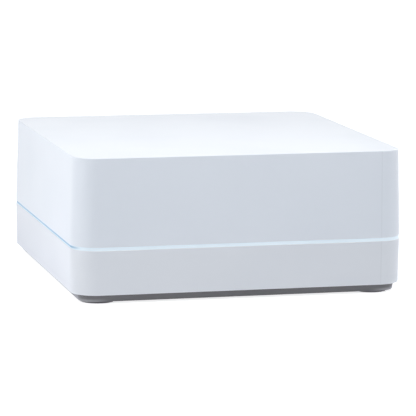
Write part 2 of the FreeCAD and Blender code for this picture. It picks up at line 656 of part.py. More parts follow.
def make_main_board():
    body = new_body("main_board")
    outline = new_sketch(body, "XY_Plane", "outline", BOARD_BOTTOM)
    draw_rounded_square(outline, BOARD_HALF, "Sizes.board_corner_radius")
    for side_x, side_y in QUARTERS:
        draw_circle(outline, f"{side_x} * {POST_AT}", f"{side_y} * {POST_AT}",
                    "Sizes.screw_diameter + 2 * Sizes.screw_fit")
    pad(body, outline, "Sizes.board_thickness")
    return body


def make_guide_leds():
    body = new_body("guide_leds")
    lamps = new_sketch(body, "XY_Plane", "lamps", BOARD_TOP)
    middle = f"({HALF} - ({LEG_OUTER} + {LEG_INNER}) / 2)"
    for along in (-1, 1):
        for side in (-1, 1):
            far = f"{along} * {LEG_AT}"
            near = f"{side} * {middle}"
            draw_block(lamps, far, near, "Sizes.led_length", "Sizes.leg_thickness")
            draw_block(lamps, near, far, "Sizes.leg_thickness", "Sizes.led_length")
    pad(body, lamps, "Sizes.led_height")
    return body


# Network socket

SKIN = "(Sizes.shield_thickness + Sizes.shield_fit)"
HOUSING_FACE = f"({JACK_FACE} - {SKIN})"
HOUSING_TOP = f"({BOARD_TOP} + Sizes.jack_height - {SKIN})"
MOUTH_TOP = f"({HOUSING_TOP} - Sizes.mouth_roof)"
LATCH_TOP = f"({MOUTH_TOP} - Sizes.mouth_height)"
LATCH_BOTTOM = f"({LATCH_TOP} - Sizes.latch_height)"
CONTACT_COUNT = 8


def draw_mouth(sketch, margin):
    # Plug opening with the latch slot under it
    mouth = f"(Sizes.mouth_width / 2 + {margin})"
    latch = f"(Sizes.latch_width / 2 + {margin})"
    draw_polygon(sketch, (
        (f"Sizes.jack_x - {mouth}", f"{MOUTH_TOP} + {margin}"),
        (f"Sizes.jack_x - {mouth}", f"{LATCH_TOP} - {margin}"),
        (f"Sizes.jack_x - {latch}", f"{LATCH_TOP} - {margin}"),
        (f"Sizes.jack_x - {latch}", f"{LATCH_BOTTOM} - {margin}"),
        (f"Sizes.jack_x + {latch}", f"{LATCH_BOTTOM} - {margin}"),
        (f"Sizes.jack_x + {latch}", f"{LATCH_TOP} - {margin}"),
        (f"Sizes.jack_x + {mouth}", f"{LATCH_TOP} - {margin}"),
        (f"Sizes.jack_x + {mouth}", f"{MOUTH_TOP} + {margin}"),
    ))


def rear_sketch(body, name, depth):
    # Upright sketch facing the front, so that a pad runs into the hub and a pocket comes out
    return new_sketch(body, "XZ_Plane", name, f"-{depth}")


def make_ethernet_jack_body():
    body = new_body("ethernet_jack_body")
    block = rear_sketch(body, "block", HOUSING_FACE)
    half = f"(Sizes.jack_width / 2 - {SKIN})"
    draw_rectangle(block, f"Sizes.jack_x - {half}", f"Sizes.jack_x + {half}", BOARD_TOP, HOUSING_TOP)
    pad(body, block, f"Sizes.jack_depth - 2 * {SKIN}")
    mouth = rear_sketch(body, "mouth", HOUSING_FACE)
    draw_mouth(mouth, "0")
    pocket(body, mouth, "Sizes.mouth_depth", backwards=True)
    return body


def make_ethernet_jack_shield():
    body = new_body("ethernet_jack_shield")
    sheet_in = "(Sizes.jack_width / 2 - Sizes.shield_thickness)"
    block = rear_sketch(body, "block", JACK_FACE)
    draw_rectangle(block, "Sizes.jack_x - Sizes.jack_width / 2", "Sizes.jack_x + Sizes.jack_width / 2",
                   BOARD_TOP, f"{BOARD_TOP} + Sizes.jack_height")
    pad(body, block, "Sizes.jack_depth")
    inside = new_sketch(body, "XY_Plane", "inside", BOARD_TOP)
    draw_rectangle(inside, f"Sizes.jack_x - {sheet_in}", f"Sizes.jack_x + {sheet_in}",
                   f"{JACK_BACK} + Sizes.shield_thickness", f"{JACK_FACE} - Sizes.shield_thickness")
    pocket(body, inside, "Sizes.jack_height - Sizes.shield_thickness", backwards=True)
    front = rear_sketch(body, "front", JACK_FACE)
    draw_mouth(front, "Sizes.shield_margin")
    pocket(body, front, SKIN, backwards=True)
    return body


def make_ethernet_jack_contacts():
    # Each wire runs along the roof of the mouth, turns down at the front and hangs back inside
    body = new_body("ethernet_jack_contacts")
    first = f"Sizes.jack_x - {(CONTACT_COUNT - 1) / 2} * Sizes.contact_pitch"
    wire = new_sketch(body, "YZ_Plane", "wire", first)
    back = f"({HOUSING_FACE} - Sizes.mouth_depth + Sizes.contact_tail)"
    front = f"({HOUSING_FACE} - Sizes.contact_setback)"
    turn = f"({front} - Sizes.contact_bend / 2)"
    tip = f"({front} - Sizes.contact_reach)"
    middle = f"({MOUTH_TOP} - Sizes.contact_bend / 2)"
    under = f"({MOUTH_TOP} - Sizes.contact_bend)"
    low = f"({MOUTH_TOP} - Sizes.contact_drop)"
    draw_polygon(wire, (
        (back, MOUTH_TOP),
        (turn, MOUTH_TOP),
        (front, middle),
        (turn, under),
        (tip, low),
        (tip, f"{low} + Sizes.contact_thickness"),
        (turn, f"{under} + Sizes.contact_thickness"),
        (f"{front} - Sizes.contact_thickness", middle),
        (turn, f"{MOUTH_TOP} - Sizes.contact_thickness"),
        (back, f"{MOUTH_TOP} - Sizes.contact_thickness"),
    ))
    one = pad(body, wire, "Sizes.contact_width", symmetric=True)
    spread = f"{CONTACT_COUNT - 1} * Sizes.contact_pitch"
    linear_pattern(body, [one], "row", "X_Axis", spread, CONTACT_COUNT)
    return body


# Power socket

def make_power_jack_body():
    body = new_body("power_jack_body")
    collar = rear_sketch(body, "collar", POWER_FACE)
    draw_rectangle(collar, "Sizes.power_x - Sizes.power_width / 2", "Sizes.power_x + Sizes.power_width / 2",
                   BOARD_TOP, f"{BOARD_TOP} + Sizes.power_height")
    pad(body, collar, "Sizes.power_collar")
    barrel = rear_sketch(body, "barrel", POWER_FACE)
    half = "(Sizes.power_width / 2 - Sizes.power_step)"
    draw_rectangle(barrel, f"Sizes.power_x - {half}", f"Sizes.power_x + {half}",
                   BOARD_TOP, f"{BOARD_TOP} + Sizes.power_height - Sizes.power_step")
    pad(body, barrel, "Sizes.power_depth")
    bore = rear_sketch(body, "bore", POWER_FACE)
    draw_circle(bore, "Sizes.power_x", POWER_AXIS_Z, "Sizes.power_bore")
    pocket(body, bore, "Sizes.power_bore_depth", backwards=True)
    return body


def make_power_jack_pin():
    body = new_body("power_jack_pin")
    pin = rear_sketch(body, "pin", f"({POWER_FACE} - Sizes.power_bore_depth)")
    draw_circle(pin, "Sizes.power_x", POWER_AXIS_Z, "Sizes.power_pin")
    pad(body, pin, "Sizes.power_bore_depth - Sizes.power_pin_setback", backwards=True)
    return body


def make_power_jack_contact():
    # A bowed leaf that lies along the bottom of the bore and touches it at both ends
    body = new_body("power_jack_contact")
    leaf = new_sketch(body, "YZ_Plane", "leaf", "Sizes.power_x")
    seat = f"({POWER_AXIS_Z} - sqrt(pow(Sizes.power_bore / 2; 2) - pow(Sizes.power_leaf_width / 2; 2)))"
    back = f"({POWER_FACE} - Sizes.power_bore_depth)"
    front = f"({POWER_FACE} - Sizes.power_leaf_setback)"
    middle = f"(({back} + {front}) / 2)"
    draw_polygon(leaf, (
        (back, seat),
        (middle, f"{seat} + Sizes.power_leaf_rise"),
        (front, seat),
        (front, f"{seat} + Sizes.power_leaf_thickness"),
        (middle, f"{seat} + Sizes.power_leaf_rise + Sizes.power_leaf_thickness"),
        (back, f"{seat} + Sizes.power_leaf_thickness"),
    ))
    pad(body, leaf, "Sizes.power_leaf_width", symmetric=True)
    return body


# Link button and its switch

def make_link_button():
    body = new_body("link_button")
    cap = rear_sketch(body, "cap", LINK_FACE)
    draw_circle(cap, "Sizes.link_x", LINK_AXIS_Z, "Sizes.link_cap_diameter")
    pad(body, cap, f"{LINK_FACE} - {LINK_FLANGE_FRONT}")
    chamfer(body, edges_at_depth(body.Shape, LINK_FACE), "rim", "Sizes.link_edge_bevel")
    flange = rear_sketch(body, "flange", LINK_FLANGE_FRONT)
    draw_circle(flange, "Sizes.link_x", LINK_AXIS_Z, "Sizes.link_cap_diameter + 2 * Sizes.link_flange")
    pad(body, flange, "Sizes.link_flange_thickness")
    return body


def make_link_switch_plunger():
    body = new_body("link_switch_plunger")
    plunger = rear_sketch(body, "plunger", LINK_FLANGE_BACK)
    draw_block(plunger, "Sizes.link_x", LINK_AXIS_Z, "Sizes.plunger_width", "Sizes.plunger_height")
    pad(body, plunger, "Sizes.plunger_length + Sizes.plunger_root")
    return body


def make_link_switch_body():
    body = new_body("link_switch_body")
    block = rear_sketch(body, "block", SWITCH_FRONT)
    draw_rectangle(block, "Sizes.link_x - Sizes.switch_width / 2", "Sizes.link_x + Sizes.switch_width / 2",
                   BOARD_TOP, f"{LINK_AXIS_Z} + Sizes.switch_above_axis")
    pad(body, block, "Sizes.switch_depth")
    well = rear_sketch(body, "well", SWITCH_FRONT)
    draw_block(well, "Sizes.link_x", LINK_AXIS_Z, "(Sizes.plunger_width + 2 * Sizes.plunger_fit)",
               "(Sizes.plunger_height + 2 * Sizes.plunger_fit)")
    depth = "Sizes.plunger_root + Sizes.link_travel + Sizes.plunger_spare"
    pocket(body, well, depth, backwards=True)
    return body


# Packages on the board: each is drawn about its own middle on the board's surface, then placed

def place(body, across, up, turned=False):
    if turned:
        body.Placement = FreeCAD.Placement(
            FreeCAD.Vector(0, 0, 0), FreeCAD.Rotation(FreeCAD.Vector(0, 0, 1), 90))
    body.setExpression("Placement.Base.x", across)
    body.setExpression("Placement.Base.y", up)
    body.setExpression("Placement.Base.z", BOARD_TOP)
    doc.recompute()
    return body


def make_block(name, length, width, height, edge):
    # Plain moulded package: length along X, width along Y, bevelled along the top
    body = new_body(name)
    outline = new_sketch(body, "XY_Plane", "outline", "0")
    draw_block(outline, "0", "0", length, width)
    pad(body, outline, height)
    chamfer(body, edges_at_height(body.Shape, height), "top_edge", edge)
    return body


def make_ball_grid(name, length, width, height):
    # Thin substrate with a moulded cap set in from its edge
    body = new_body(name)
    substrate = new_sketch(body, "XY_Plane", "substrate", "0")
    draw_block(substrate, "0", "0", length, width)
    pad(body, substrate, "Sizes.substrate_height")
    cap = new_sketch(body, "XY_Plane", "cap", "Sizes.substrate_height")
    draw_block(cap, "0", "0", f"({length} - 2 * Sizes.package_step)", f"({width} - 2 * Sizes.package_step)")
    pad(body, cap, f"{height} - Sizes.substrate_height")
    chamfer(body, edges_at_height(body.Shape, height), "top_edge", "Sizes.package_edge")
    return body


def draw_lead(sketch, side, half_width, height):
    # Gull-wing lead: out of the package at half height, down, and out along the board
    root = f"({half_width} - Sizes.lead_thickness)"
    knee = f"({half_width} + Sizes.lead_reach / 2)"
    shin = f"({knee} - Sizes.lead_thickness)"
    toe = f"({half_width} + Sizes.lead_reach)"
    waist = f"({height} / 2)"
    above = f"({waist} + Sizes.lead_thickness)"
    corners = (
        (root, waist), (shin, waist), (shin, "0"), (toe, "0"),
        (toe, "Sizes.lead_thickness"), (knee, "Sizes.lead_thickness"), (knee, above), (root, above),
    )
    draw_polygon(sketch, [(f"{side} * {across}", up) for across, up in corners])


def make_leaded(name, length, width, height, rows):
    # Raised moulded package. Each row is (side, number of leads, lead width, pitch)
    body = new_body(name)
    outline = new_sketch(body, "XY_Plane", "outline", "Sizes.package_standoff")
    draw_block(outline, "0", "0", width, length)
    pad(body, outline, f"{height} - Sizes.package_standoff")
    chamfer(body, edges_at_height(body.Shape, height), "top_edge", "Sizes.package_edge")
    for side, count, lead_width, pitch in rows:
        end = "left" if side < 0 else "right"
        lead = new_sketch(body, "XZ_Plane", f"lead_{end}", f"{(count - 1) / 2} * {pitch}")
        draw_lead(lead, side, f"({width} / 2)", height)
        first = pad(body, lead, lead_width, symmetric=True)
        if count > 1:
            linear_pattern(body, [first], f"row_{end}", "Y_Axis", f"{count - 1} * {pitch}", count)
    return body


def even_rows(count):
    return [(side, count, "Sizes.lead_width", "Sizes.lead_pitch") for side in (-1, 1)]


PROCESSOR_HALF = "(Sizes.processor_side / 2)"
CHIP_CAPACITOR_FRONT = (
    f"(Sizes.processor_y - {PROCESSOR_HALF} - Sizes.chip_capacitor_gap - Sizes.chip_capacitor_length)")
CRYSTAL_Y = f"({CHIP_CAPACITOR_FRONT} - Sizes.crystal_gap - Sizes.crystal_width / 2)"
RADIO_Y = f"({CRYSTAL_Y} - Sizes.crystal_width / 2 - Sizes.radio_gap - Sizes.radio_width / 2)"
HEADER_REAR = f"({RADIO_Y} - Sizes.radio_width / 2 - Sizes.antenna_gap)"
ANTENNA_REAR = f"({HEADER_REAR} - Sizes.header_depth)"
ANTENNA_FRONT = f"({ANTENNA_REAR} - Sizes.antenna_thickness)"
ANTENNA_TOP = f"({RIB_BOTTOM} - Sizes.antenna_headroom)"
MAGNETICS_Y = f"({JACK_BACK} - Sizes.magnetics_gap - Sizes.lead_reach - Sizes.magnetics_width / 2)"
CAPACITOR_Y = f"({POWER_BACK} - Sizes.capacitor_gap - Sizes.capacitor_diameter / 2)"
SUPPLY_Y = f"({CAPACITOR_Y} - Sizes.capacitor_diameter / 2 - Sizes.supply_gap - Sizes.inductor_side / 2)"
SUPPLY_X = "(Sizes.power_x - Sizes.capacitor_pitch)"
MAGNETICS_LEAD_COUNT = 8
FLASH_LEAD_COUNT = 4
REGULATOR_LEAD_COUNT = 3
ROW_CAPACITOR_COUNT = 5
TRACK_PASS_COUNT = 6


def make_processor_chip():
    body = make_ball_grid("processor_chip", "Sizes.processor_side", "Sizes.processor_side",
                          "Sizes.processor_height")
    return place(body, "0", "Sizes.processor_y")


def make_memory_chip():
    body = make_ball_grid("memory_chip", "Sizes.memory_width", "Sizes.memory_length", "Sizes.memory_height")
    across = f"-({PROCESSOR_HALF} + Sizes.memory_gap + Sizes.memory_width / 2)"
    return place(body, across, "Sizes.processor_y")


def make_flash_chip():
    body = make_leaded("flash_chip", "Sizes.flash_length", "Sizes.flash_width", "Sizes.flash_height",
                       even_rows(FLASH_LEAD_COUNT))
    across = f"{PROCESSOR_HALF} + Sizes.flash_gap + Sizes.lead_reach + Sizes.flash_width / 2"
    return place(body, across, "Sizes.processor_y")


def make_ceramic_capacitors():
    body = new_body("ceramic_capacitors")
    rows = new_sketch(body, "XY_Plane", "rows", BOARD_TOP)
    reach = f"({PROCESSOR_HALF} + Sizes.chip_capacitor_gap + Sizes.chip_capacitor_length / 2)"
    for side in (-1, 1):
        for index in range(ROW_CAPACITOR_COUNT):
            step = index - (ROW_CAPACITOR_COUNT - 1) / 2
            draw_block(rows, f"{step} * Sizes.chip_capacitor_pitch", f"Sizes.processor_y + {side} * {reach}",
                       "Sizes.chip_capacitor_width", "Sizes.chip_capacitor_length")
    pad(body, rows, "Sizes.chip_capacitor_height")
    return body


def make_crystal():
    body = make_block("crystal", "Sizes.crystal_length", "Sizes.crystal_width", "Sizes.crystal_height",
                      "Sizes.package_edge")
    return place(body, "0", CRYSTAL_Y)


def make_ethernet_transformer():
    body = make_leaded("ethernet_transformer", "Sizes.magnetics_length", "Sizes.magnetics_width",
                       "Sizes.magnetics_height", even_rows(MAGNETICS_LEAD_COUNT))
    return place(body, "Sizes.jack_x", MAGNETICS_Y, turned=True)


def make_ethernet_chip():
    body = make_block("ethernet_chip", "Sizes.network_side", "Sizes.network_side", "Sizes.network_height",
                      "Sizes.package_edge")
    across = "Sizes.jack_x - Sizes.magnetics_length / 2 - Sizes.network_gap - Sizes.network_side / 2"
    return place(body, across, MAGNETICS_Y)


def make_radio_chip():
    body = make_block("radio_chip", "Sizes.radio_chip_side", "Sizes.radio_chip_side",
                      "Sizes.radio_chip_height", "Sizes.package_edge")
    return place(body, "0", RADIO_Y)


def make_radio_shield():
    body = make_block("radio_shield", "Sizes.radio_length", "Sizes.radio_width", "Sizes.radio_height",
                      "Sizes.radio_edge")
    inside = new_sketch(body, "XY_Plane", "inside", "0")
    draw_block(inside, "0", "0", "(Sizes.radio_length - 2 * Sizes.radio_sheet)",
               "(Sizes.radio_width - 2 * Sizes.radio_sheet)")
    pocket(body, inside, "Sizes.radio_height - Sizes.radio_edge", backwards=True)
    return place(body, "0", RADIO_Y)


def make_antenna_board():
    body = new_body("antenna_board")
    outline = rear_sketch(body, "outline", ANTENNA_REAR)
    half = "Sizes.antenna_width / 2"
    draw_polygon(outline, (
        (f"-{half}", BOARD_TOP),
        (half, BOARD_TOP),
        (half, f"{ANTENNA_TOP} - Sizes.antenna_corner"),
        (f"{half} - Sizes.antenna_corner", ANTENNA_TOP),
        (f"-{half} + Sizes.antenna_corner", ANTENNA_TOP),
        (f"-{half}", f"{ANTENNA_TOP} - Sizes.antenna_corner"),
    ))
    pad(body, outline, "Sizes.antenna_thickness")
    return body


def make_antenna_header():
    body = new_body("antenna_header")
    block = new_sketch(body, "XY_Plane", "block", BOARD_TOP)
    draw_rectangle(block, "-Sizes.header_width / 2", "Sizes.header_width / 2", ANTENNA_REAR, HEADER_REAR)
    pad(body, block, "Sizes.header_height")
    return body


def draw_track(sketch, corners, width):
    # Outline of a track of even width along a path with square corners
    points = [FreeCAD.Vector(number_of(across), number_of(up), 0) for across, up in corners]
    runs = [(end - start).normalize() for start, end in zip(points, points[1:])]
    sides = [FreeCAD.Vector(-run.y, run.x, 0) for run in runs]
    left = []
    right = []
    for index, (across, up) in enumerate(corners):
        before = sides[max(index - 1, 0)]
        after = sides[min(index, len(sides) - 1)]
        corner = before if index in (0, len(corners) - 1) else before + after
        out_x = f"{round(corner.x)} * {width} / 2"
        out_y = f"{round(corner.y)} * {width} / 2"
        left.append((f"{across} + {out_x}", f"{up} + {out_y}"))
        right.append((f"{across} - {out_x}", f"{up} - {out_y}"))
    draw_polygon(sketch, left + right[::-1])


def make_antenna_track():
    body = new_body("antenna_track")
    sketch = rear_sketch(body, "meander", ANTENNA_FRONT)
    reach = "(Sizes.antenna_width / 2 - Sizes.track_margin)"
    highest = f"({ANTENNA_TOP} - Sizes.track_margin)"
    lowest = f"({highest} - {TRACK_PASS_COUNT - 1} * Sizes.track_pitch)"
    corners = [("0", f"{BOARD_TOP} + Sizes.header_height"), ("0", lowest)]
    for index in range(TRACK_PASS_COUNT):
        side = 1 if index % 2 == 0 else -1
        level = f"({lowest} + {index} * Sizes.track_pitch)"
        if index > 0:
            corners.append((f"{-side} * {reach}", level))
        corners.append((f"{side} * {reach}", level))
    draw_track(sketch, corners, "Sizes.track_width")
    pad(body, sketch, "Sizes.track_thickness")
    return body


# Supply

def make_capacitor(name, across):
    body = new_body(name)
    foot = new_sketch(body, "XY_Plane", "foot", "0")
    side = "(Sizes.capacitor_diameter + 2 * Sizes.capacitor_base_lip)"
    draw_block(foot, "0", "0", side, side)
    pad(body, foot, "Sizes.capacitor_base")
    can = new_sketch(body, "XY_Plane", "can", "0")
    draw_circle(can, "0", "0", "Sizes.capacitor_diameter")
    pad(body, can, "Sizes.capacitor_height")
    return place(body, across, CAPACITOR_Y)


def make_power_inductor():
    body = new_body("power_inductor")
    outline = new_sketch(body, "XY_Plane", "outline", "0")
    half = "Sizes.inductor_side / 2"
    inner = f"({half} - Sizes.inductor_chamfer)"
    corners = []
    for side_x, side_y in QUARTERS:
        on_side = (f"{side_x} * {half}", f"{side_y} * {inner}")
        on_end = (f"{side_x} * {inner}", f"{side_y} * {half}")
        corners.extend((on_side, on_end) if side_x == side_y else (on_end, on_side))
    draw_polygon(outline, corners)
    pad(body, outline, "Sizes.inductor_height")
    chamfer(body, edges_at_height(body.Shape, "Sizes.inductor_height"), "top_edge", "Sizes.package_edge")
    return place(body, "Sizes.power_x", SUPPLY_Y)


def make_regulator_chip():
    rows = (
        (-1, REGULATOR_LEAD_COUNT, "Sizes.regulator_lead", "Sizes.regulator_pitch"),
        (1, 1, "Sizes.regulator_tab", "Sizes.regulator_pitch"),
    )
    body = make_leaded("regulator_chip", "Sizes.regulator_length", "Sizes.regulator_width",
                       "Sizes.regulator_height", rows)
    return place(body, SUPPLY_X, SUPPLY_Y)


def check_and_write():
    doc.recompute()
    for item in doc.Objects:
        if "Invalid" in item.State or "Error" in item.State:
            raise RuntimeError(f"{item.Name} failed: {item.State}")
    os.makedirs("parts", exist_ok=True)
    for body in BODIES:
        if body.Shape.isNull() or not body.Shape.isValid():
            raise RuntimeError(f"{body.Label} has no valid shape")
    for body in BODIES:
        body.Shape.exportStep(os.path.join("parts", f"{body.Label}.step"))
        box = body.Shape.BoundBox
        print(f"{body.Label}: {len(body.Shape.Solids)} solid(s), {body.Shape.Volume:.1f} mm3, "
              f"z {box.ZMin:.2f} to {box.ZMax:.2f}")


BODIES = [
    make_top_cover(),
    make_light_guide(),
    make_lower_band(),
    make_base_plate(),
    make_foot("foot_front_left", -1, -1),
    make_foot("foot_front_right", 1, -1),
    make_foot("foot_rear_left", -1, 1),
    make_foot("foot_rear_right", 1, 1),
    make_case_screws(),
    make_main_board(),
    make_guide_leds(),
    make_ethernet_jack_body(),
    make_ethernet_jack_shield(),
    make_ethernet_jack_contacts(),
    make_ethernet_transformer(),
    make_ethernet_chip(),
    make_power_jack_body(),
    make_power_jack_pin(),
    make_power_jack_contact(),
    make_link_button(),
    make_link_switch_plunger(),
    make_link_switch_body(),
    make_processor_chip(),
    make_memory_chip(),
    make_flash_chip(),
    make_ceramic_capacitors(),
    make_crystal(),
    make_radio_chip(),
    make_radio_shield(),
    make_antenna_board(),
    make_antenna_header(),
    make_antenna_track(),
    make_capacitor("input_capacitor", "Sizes.power_x"),
    make_capacitor("output_capacitor", SUPPLY_X),
    make_power_inductor(),
    make_regulator_chip(),
]
check_and_write()
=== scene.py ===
import math

import bmesh
import bpy
import numpy as np
from mathutils import Matrix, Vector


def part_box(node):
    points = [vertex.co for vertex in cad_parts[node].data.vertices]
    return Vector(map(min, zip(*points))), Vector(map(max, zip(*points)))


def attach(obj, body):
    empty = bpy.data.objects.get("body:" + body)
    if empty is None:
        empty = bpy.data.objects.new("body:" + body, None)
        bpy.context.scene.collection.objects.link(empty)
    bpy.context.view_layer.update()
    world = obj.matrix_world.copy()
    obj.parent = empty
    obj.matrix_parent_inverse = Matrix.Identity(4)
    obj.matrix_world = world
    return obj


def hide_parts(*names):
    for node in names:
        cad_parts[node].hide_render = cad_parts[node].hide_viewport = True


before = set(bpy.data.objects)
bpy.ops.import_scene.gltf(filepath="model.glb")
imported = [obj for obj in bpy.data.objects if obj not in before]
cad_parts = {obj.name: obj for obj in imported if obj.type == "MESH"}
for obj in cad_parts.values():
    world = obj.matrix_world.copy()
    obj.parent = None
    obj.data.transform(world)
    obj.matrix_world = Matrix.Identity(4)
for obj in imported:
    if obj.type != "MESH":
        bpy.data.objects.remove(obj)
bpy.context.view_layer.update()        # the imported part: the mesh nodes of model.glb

# Smart lighting hub: a square white housing with a light line round it, on a grey base with
# round feet. Metres. The front faces -Y, the sockets face +Y, and the ground is at height 0.

mm = 0.001
scene = bpy.context.scene

# Levels and middles that the pieces share, read from the solids
bandLow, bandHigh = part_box("lower_band")
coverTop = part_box("top_cover")[1].z
baseLow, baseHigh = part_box("base_plate")
bodyHalf = bandHigh.x                     # half of the square plan, at the light line

housing = {
    "cornerRadius": 9.7 * mm,             # outer corners, at the light line
    "cornerSteps": 22,                    # segments in each corner
    "wall": 2.2 * mm,
    "roof": 2.4 * mm,
    "coverDraft": math.radians(1.6),
    "bandDraft": math.radians(0.75),
    "lightGap": 1.25 * mm,                # height of the light line
    "topRound": 0.22 * mm,                # top edge of the cover
    "lipRound": 0.14 * mm,                # beside the light line
    "bandRound": 0.1 * mm,                # lower edge of the band
    "innerRound": 0.8 * mm,
    "flangeReach": 4.6 * mm,              # flange of the band, in from the outer face
    "flangeThickness": 1.75 * mm,
    "ribWidth": 1.3 * mm,
    "ribDepth": 2.6 * mm,
    "ribSpacing": 19.0 * mm,
    "bossWidth": 6.6 * mm,
    "bossHole": 2.6 * mm,
    "bossHoleDepth": 9.5 * mm,
    "hold": 0.25 * mm,                    # support rows beside a round keep the flats level
    "innerLip": 0.1 * mm,                 # inner edges beside the light line
    "wallFoot": 0.3 * mm,                 # where the band's wall meets its flange
    "flangeRound": 0.15 * mm,
    "flatStart": 4.0 * mm,                # flats across the plan start this far in from a wall
    "webStart": 3.0 * mm,                 # above the rim of the cover
}
coverRim = bandHigh.z + housing["lightGap"]
spare = 1.0 * mm                          # cutters reach this far past what they cut


# Mesh helpers

def gridFaces(rows, columns, closed):
    # Quads between row i and i + 1 and column j and j + 1; in a closed grid the last column meets
    # the first
    across = columns if closed else columns - 1
    i, j = np.meshgrid(np.arange(rows - 1), np.arange(across), indexing="ij")
    following = (j + 1) % columns
    row, after = i * columns, (i + 1) * columns
    return np.stack([row + j, row + following, after + following, after + j], axis=-1).reshape(-1, 4)


def meshOf(name, sheets):
    # Each sheet is (grid of points, closed). Doubles are merged, so seams and poles close
    mesh = bpy.data.meshes.new(name)
    points = []
    faces = []
    start = 0
    for grid, closed in sheets:
        rows, columns = grid.shape[:2]
        points.append(grid.reshape(-1, 3))
        faces.append(gridFaces(rows, columns, closed) + start)
        start += rows * columns
    mesh.from_pydata(np.concatenate(points).tolist(), [], np.concatenate(faces).tolist())
    work = bmesh.new()
    work.from_mesh(mesh)
    bmesh.ops.remove_doubles(work, verts=work.verts, dist=0.0004 * mm)
    bmesh.ops.recalc_face_normals(work, faces=work.faces)
    work.to_mesh(mesh)
    work.free()
    return mesh


def smoothMesh(mesh, angle):
    mesh.polygons.foreach_set("use_smooth", [True] * len(mesh.polygons))
    mesh.set_sharp_from_angle(angle=math.radians(angle))
    mesh.update()


def newObject(name, sheets):
    piece = bpy.data.objects.new(name, meshOf(name, sheets))
    scene.collection.objects.link(piece)
    return piece


def combine(piece, sheets, operation):
    # Joins the solid made of the sheets to the piece, or cuts it away
    tool = newObject(f"{piece.name}Tool", sheets)
    step = piece.modifiers.new("combine", "BOOLEAN")
    step.operation = operation
    step.solver = "EXACT"
    step.object = tool
    depsgraph = bpy.context.evaluated_depsgraph_get()
    result = bpy.data.meshes.new_from_object(piece.evaluated_get(depsgraph))
    piece.modifiers.clear()
    old = piece.data
    piece.data = result
    bpy.data.meshes.remove(old)
    result.name = piece.name
    bpy.data.objects.remove(tool)


def finishPiece(piece, material, body, nodes=(), angle=32):
    smoothMesh(piece.data, angle)
    piece.data.materials.clear()
    piece.data.materials.append(material)
    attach(piece, body)
    if nodes:
        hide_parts(*nodes)
    return piece


# Surfaces

def softOutline(corners, steps=6, closed=True):
    # Outline through (across, up, round) corners. Each round is an arc of that radius, tangent to
    # both sides, with a support point a little outside it on each side.
    spots = [np.array(corner[:2]) for corner in corners]
    outline = []
    for index, corner in enumerate(corners):
        here = spots[index]
        bend = corner[2]
        if bend == 0 or (not closed and index in (0, len(corners) - 1)):
            outline.append(here[None, :])
            continue
        back = spots[index - 1] - here
        ahead = spots[(index + 1) % len(spots)] - here
        backLength, aheadLength = np.linalg.norm(back), np.linalg.norm(ahead)
        back, ahead = back / backLength, ahead / aheadLength
        half = math.acos(float(np.clip(back @ ahead, -1, 1))) / 2
        tangent = bend / math.tan(half)
        middle = here + (back + ahead) / np.linalg.norm(back + ahead) * bend / math.sin(half)
        first, last = here + back * tangent - middle, here + ahead * tangent - middle
        begin = math.atan2(first[1], first[0])
        sweep = (math.atan2(last[1], last[0]) - begin + math.pi) % (2 * math.pi) - math.pi
        angles = begin + sweep * np.linspace(0, 1, steps + 1)
        arc = middle + bend * np.stack([np.cos(angles), np.sin(angles)], axis=-1)
        hold = min(housing["hold"], 0.8 * bend)
        if backLength > tangent + 2 * hold:
            outline.append((here + back * (tangent + hold))[None, :])
        outline.append(arc)
        if aheadLength > tangent + 2 * hold:
            outline.append((here + ahead * (tangent + hold))[None, :])
    return np.concatenate(outline)


def squarePath(half, radius, steps):
    # Path round a square with round corners, as (foot, outward): foot runs round the square of the
    # corner centres, and a ring set in by d is foot + (radius - d) * outward.
    reach = half - radius
    hold = 4 * housing["hold"]
    feet = []
    outward = []
    for quarter in range(4):
        turn = quarter * math.pi / 2
        angles = turn + np.linspace(0, math.pi / 2, steps + 1)
        side = np.array([math.cos(turn), math.sin(turn)])
        along = np.array([-side[1], side[0]])
        centre = reach * (side + along)
        before = centre - along * hold
        feet.append(np.stack([reach * side, before]))
        outward.append(np.stack([side, side]))
        feet.append(np.tile(centre, (steps + 1, 1)))
        outward.append(np.stack([np.cos(angles), np.sin(angles)], axis=-1))
        feet.append((centre - side * hold)[None, :])
        outward.append(along[None, :])
    return np.concatenate(feet), np.concatenate(outward)


def carry(profile, path, radius, shrink=None):
    # Profile of (inset, height) carried round the path: the ring of each profile point is
    # foot + (radius - inset) * outward at its height, drawn in to the axis by its shrink.
    feet, outward = path
    inset, height = profile[:, 0], profile[:, 1]
    flat = feet[None, :, :] + (radius - inset)[:, None, None] * outward[None, :, :]
    if shrink is not None:
        flat = flat * shrink[:, None, None]
    level = np.repeat(height[:, None], feet.shape[0], axis=1)
    return np.concatenate([flat, level[:, :, None]], axis=2)


def turnedSurface(profile, centre, axis, steps=40):
    # Profile of (radius, distance along the axis) turned about the axis through the centre:
    # centre + distance * axis + radius * (cos a * side + sin a * other)
    axis = np.array(axis, float)
    side = np.array([0.0, 0.0, 1.0]) if abs(axis[2]) < 0.5 else np.array([1.0, 0.0, 0.0])
    other = np.cross(axis, side)
    angles = np.linspace(0, 2 * math.pi, steps, endpoint=False)
    spokes = np.cos(angles)[:, None] * side + np.sin(angles)[:, None] * other
    return (np.array(centre)[None, None, :] + profile[:, 1][:, None, None] * axis
            + profile[:, 0][:, None, None] * spokes[None, :, :])


def slab(outline, low, high):
    # Closed solid of an outline of (X, Y) points between two heights, closed at both ends by rings
    # drawn in to the middle of the outline
    middle = outline.mean(axis=0)
    rings = []
    for level, scale in ((low, 0.0), (low, 1.0), (high, 1.0), (high, 0.0)):
        ring = middle + (outline - middle) * scale
        rings.append(np.column_stack([ring, np.full(len(outline), level)]))
    return np.stack(rings)


def addBlock(piece, outline, low, high):
    combine(piece, [(slab(outline, low, high), True)], "UNION")


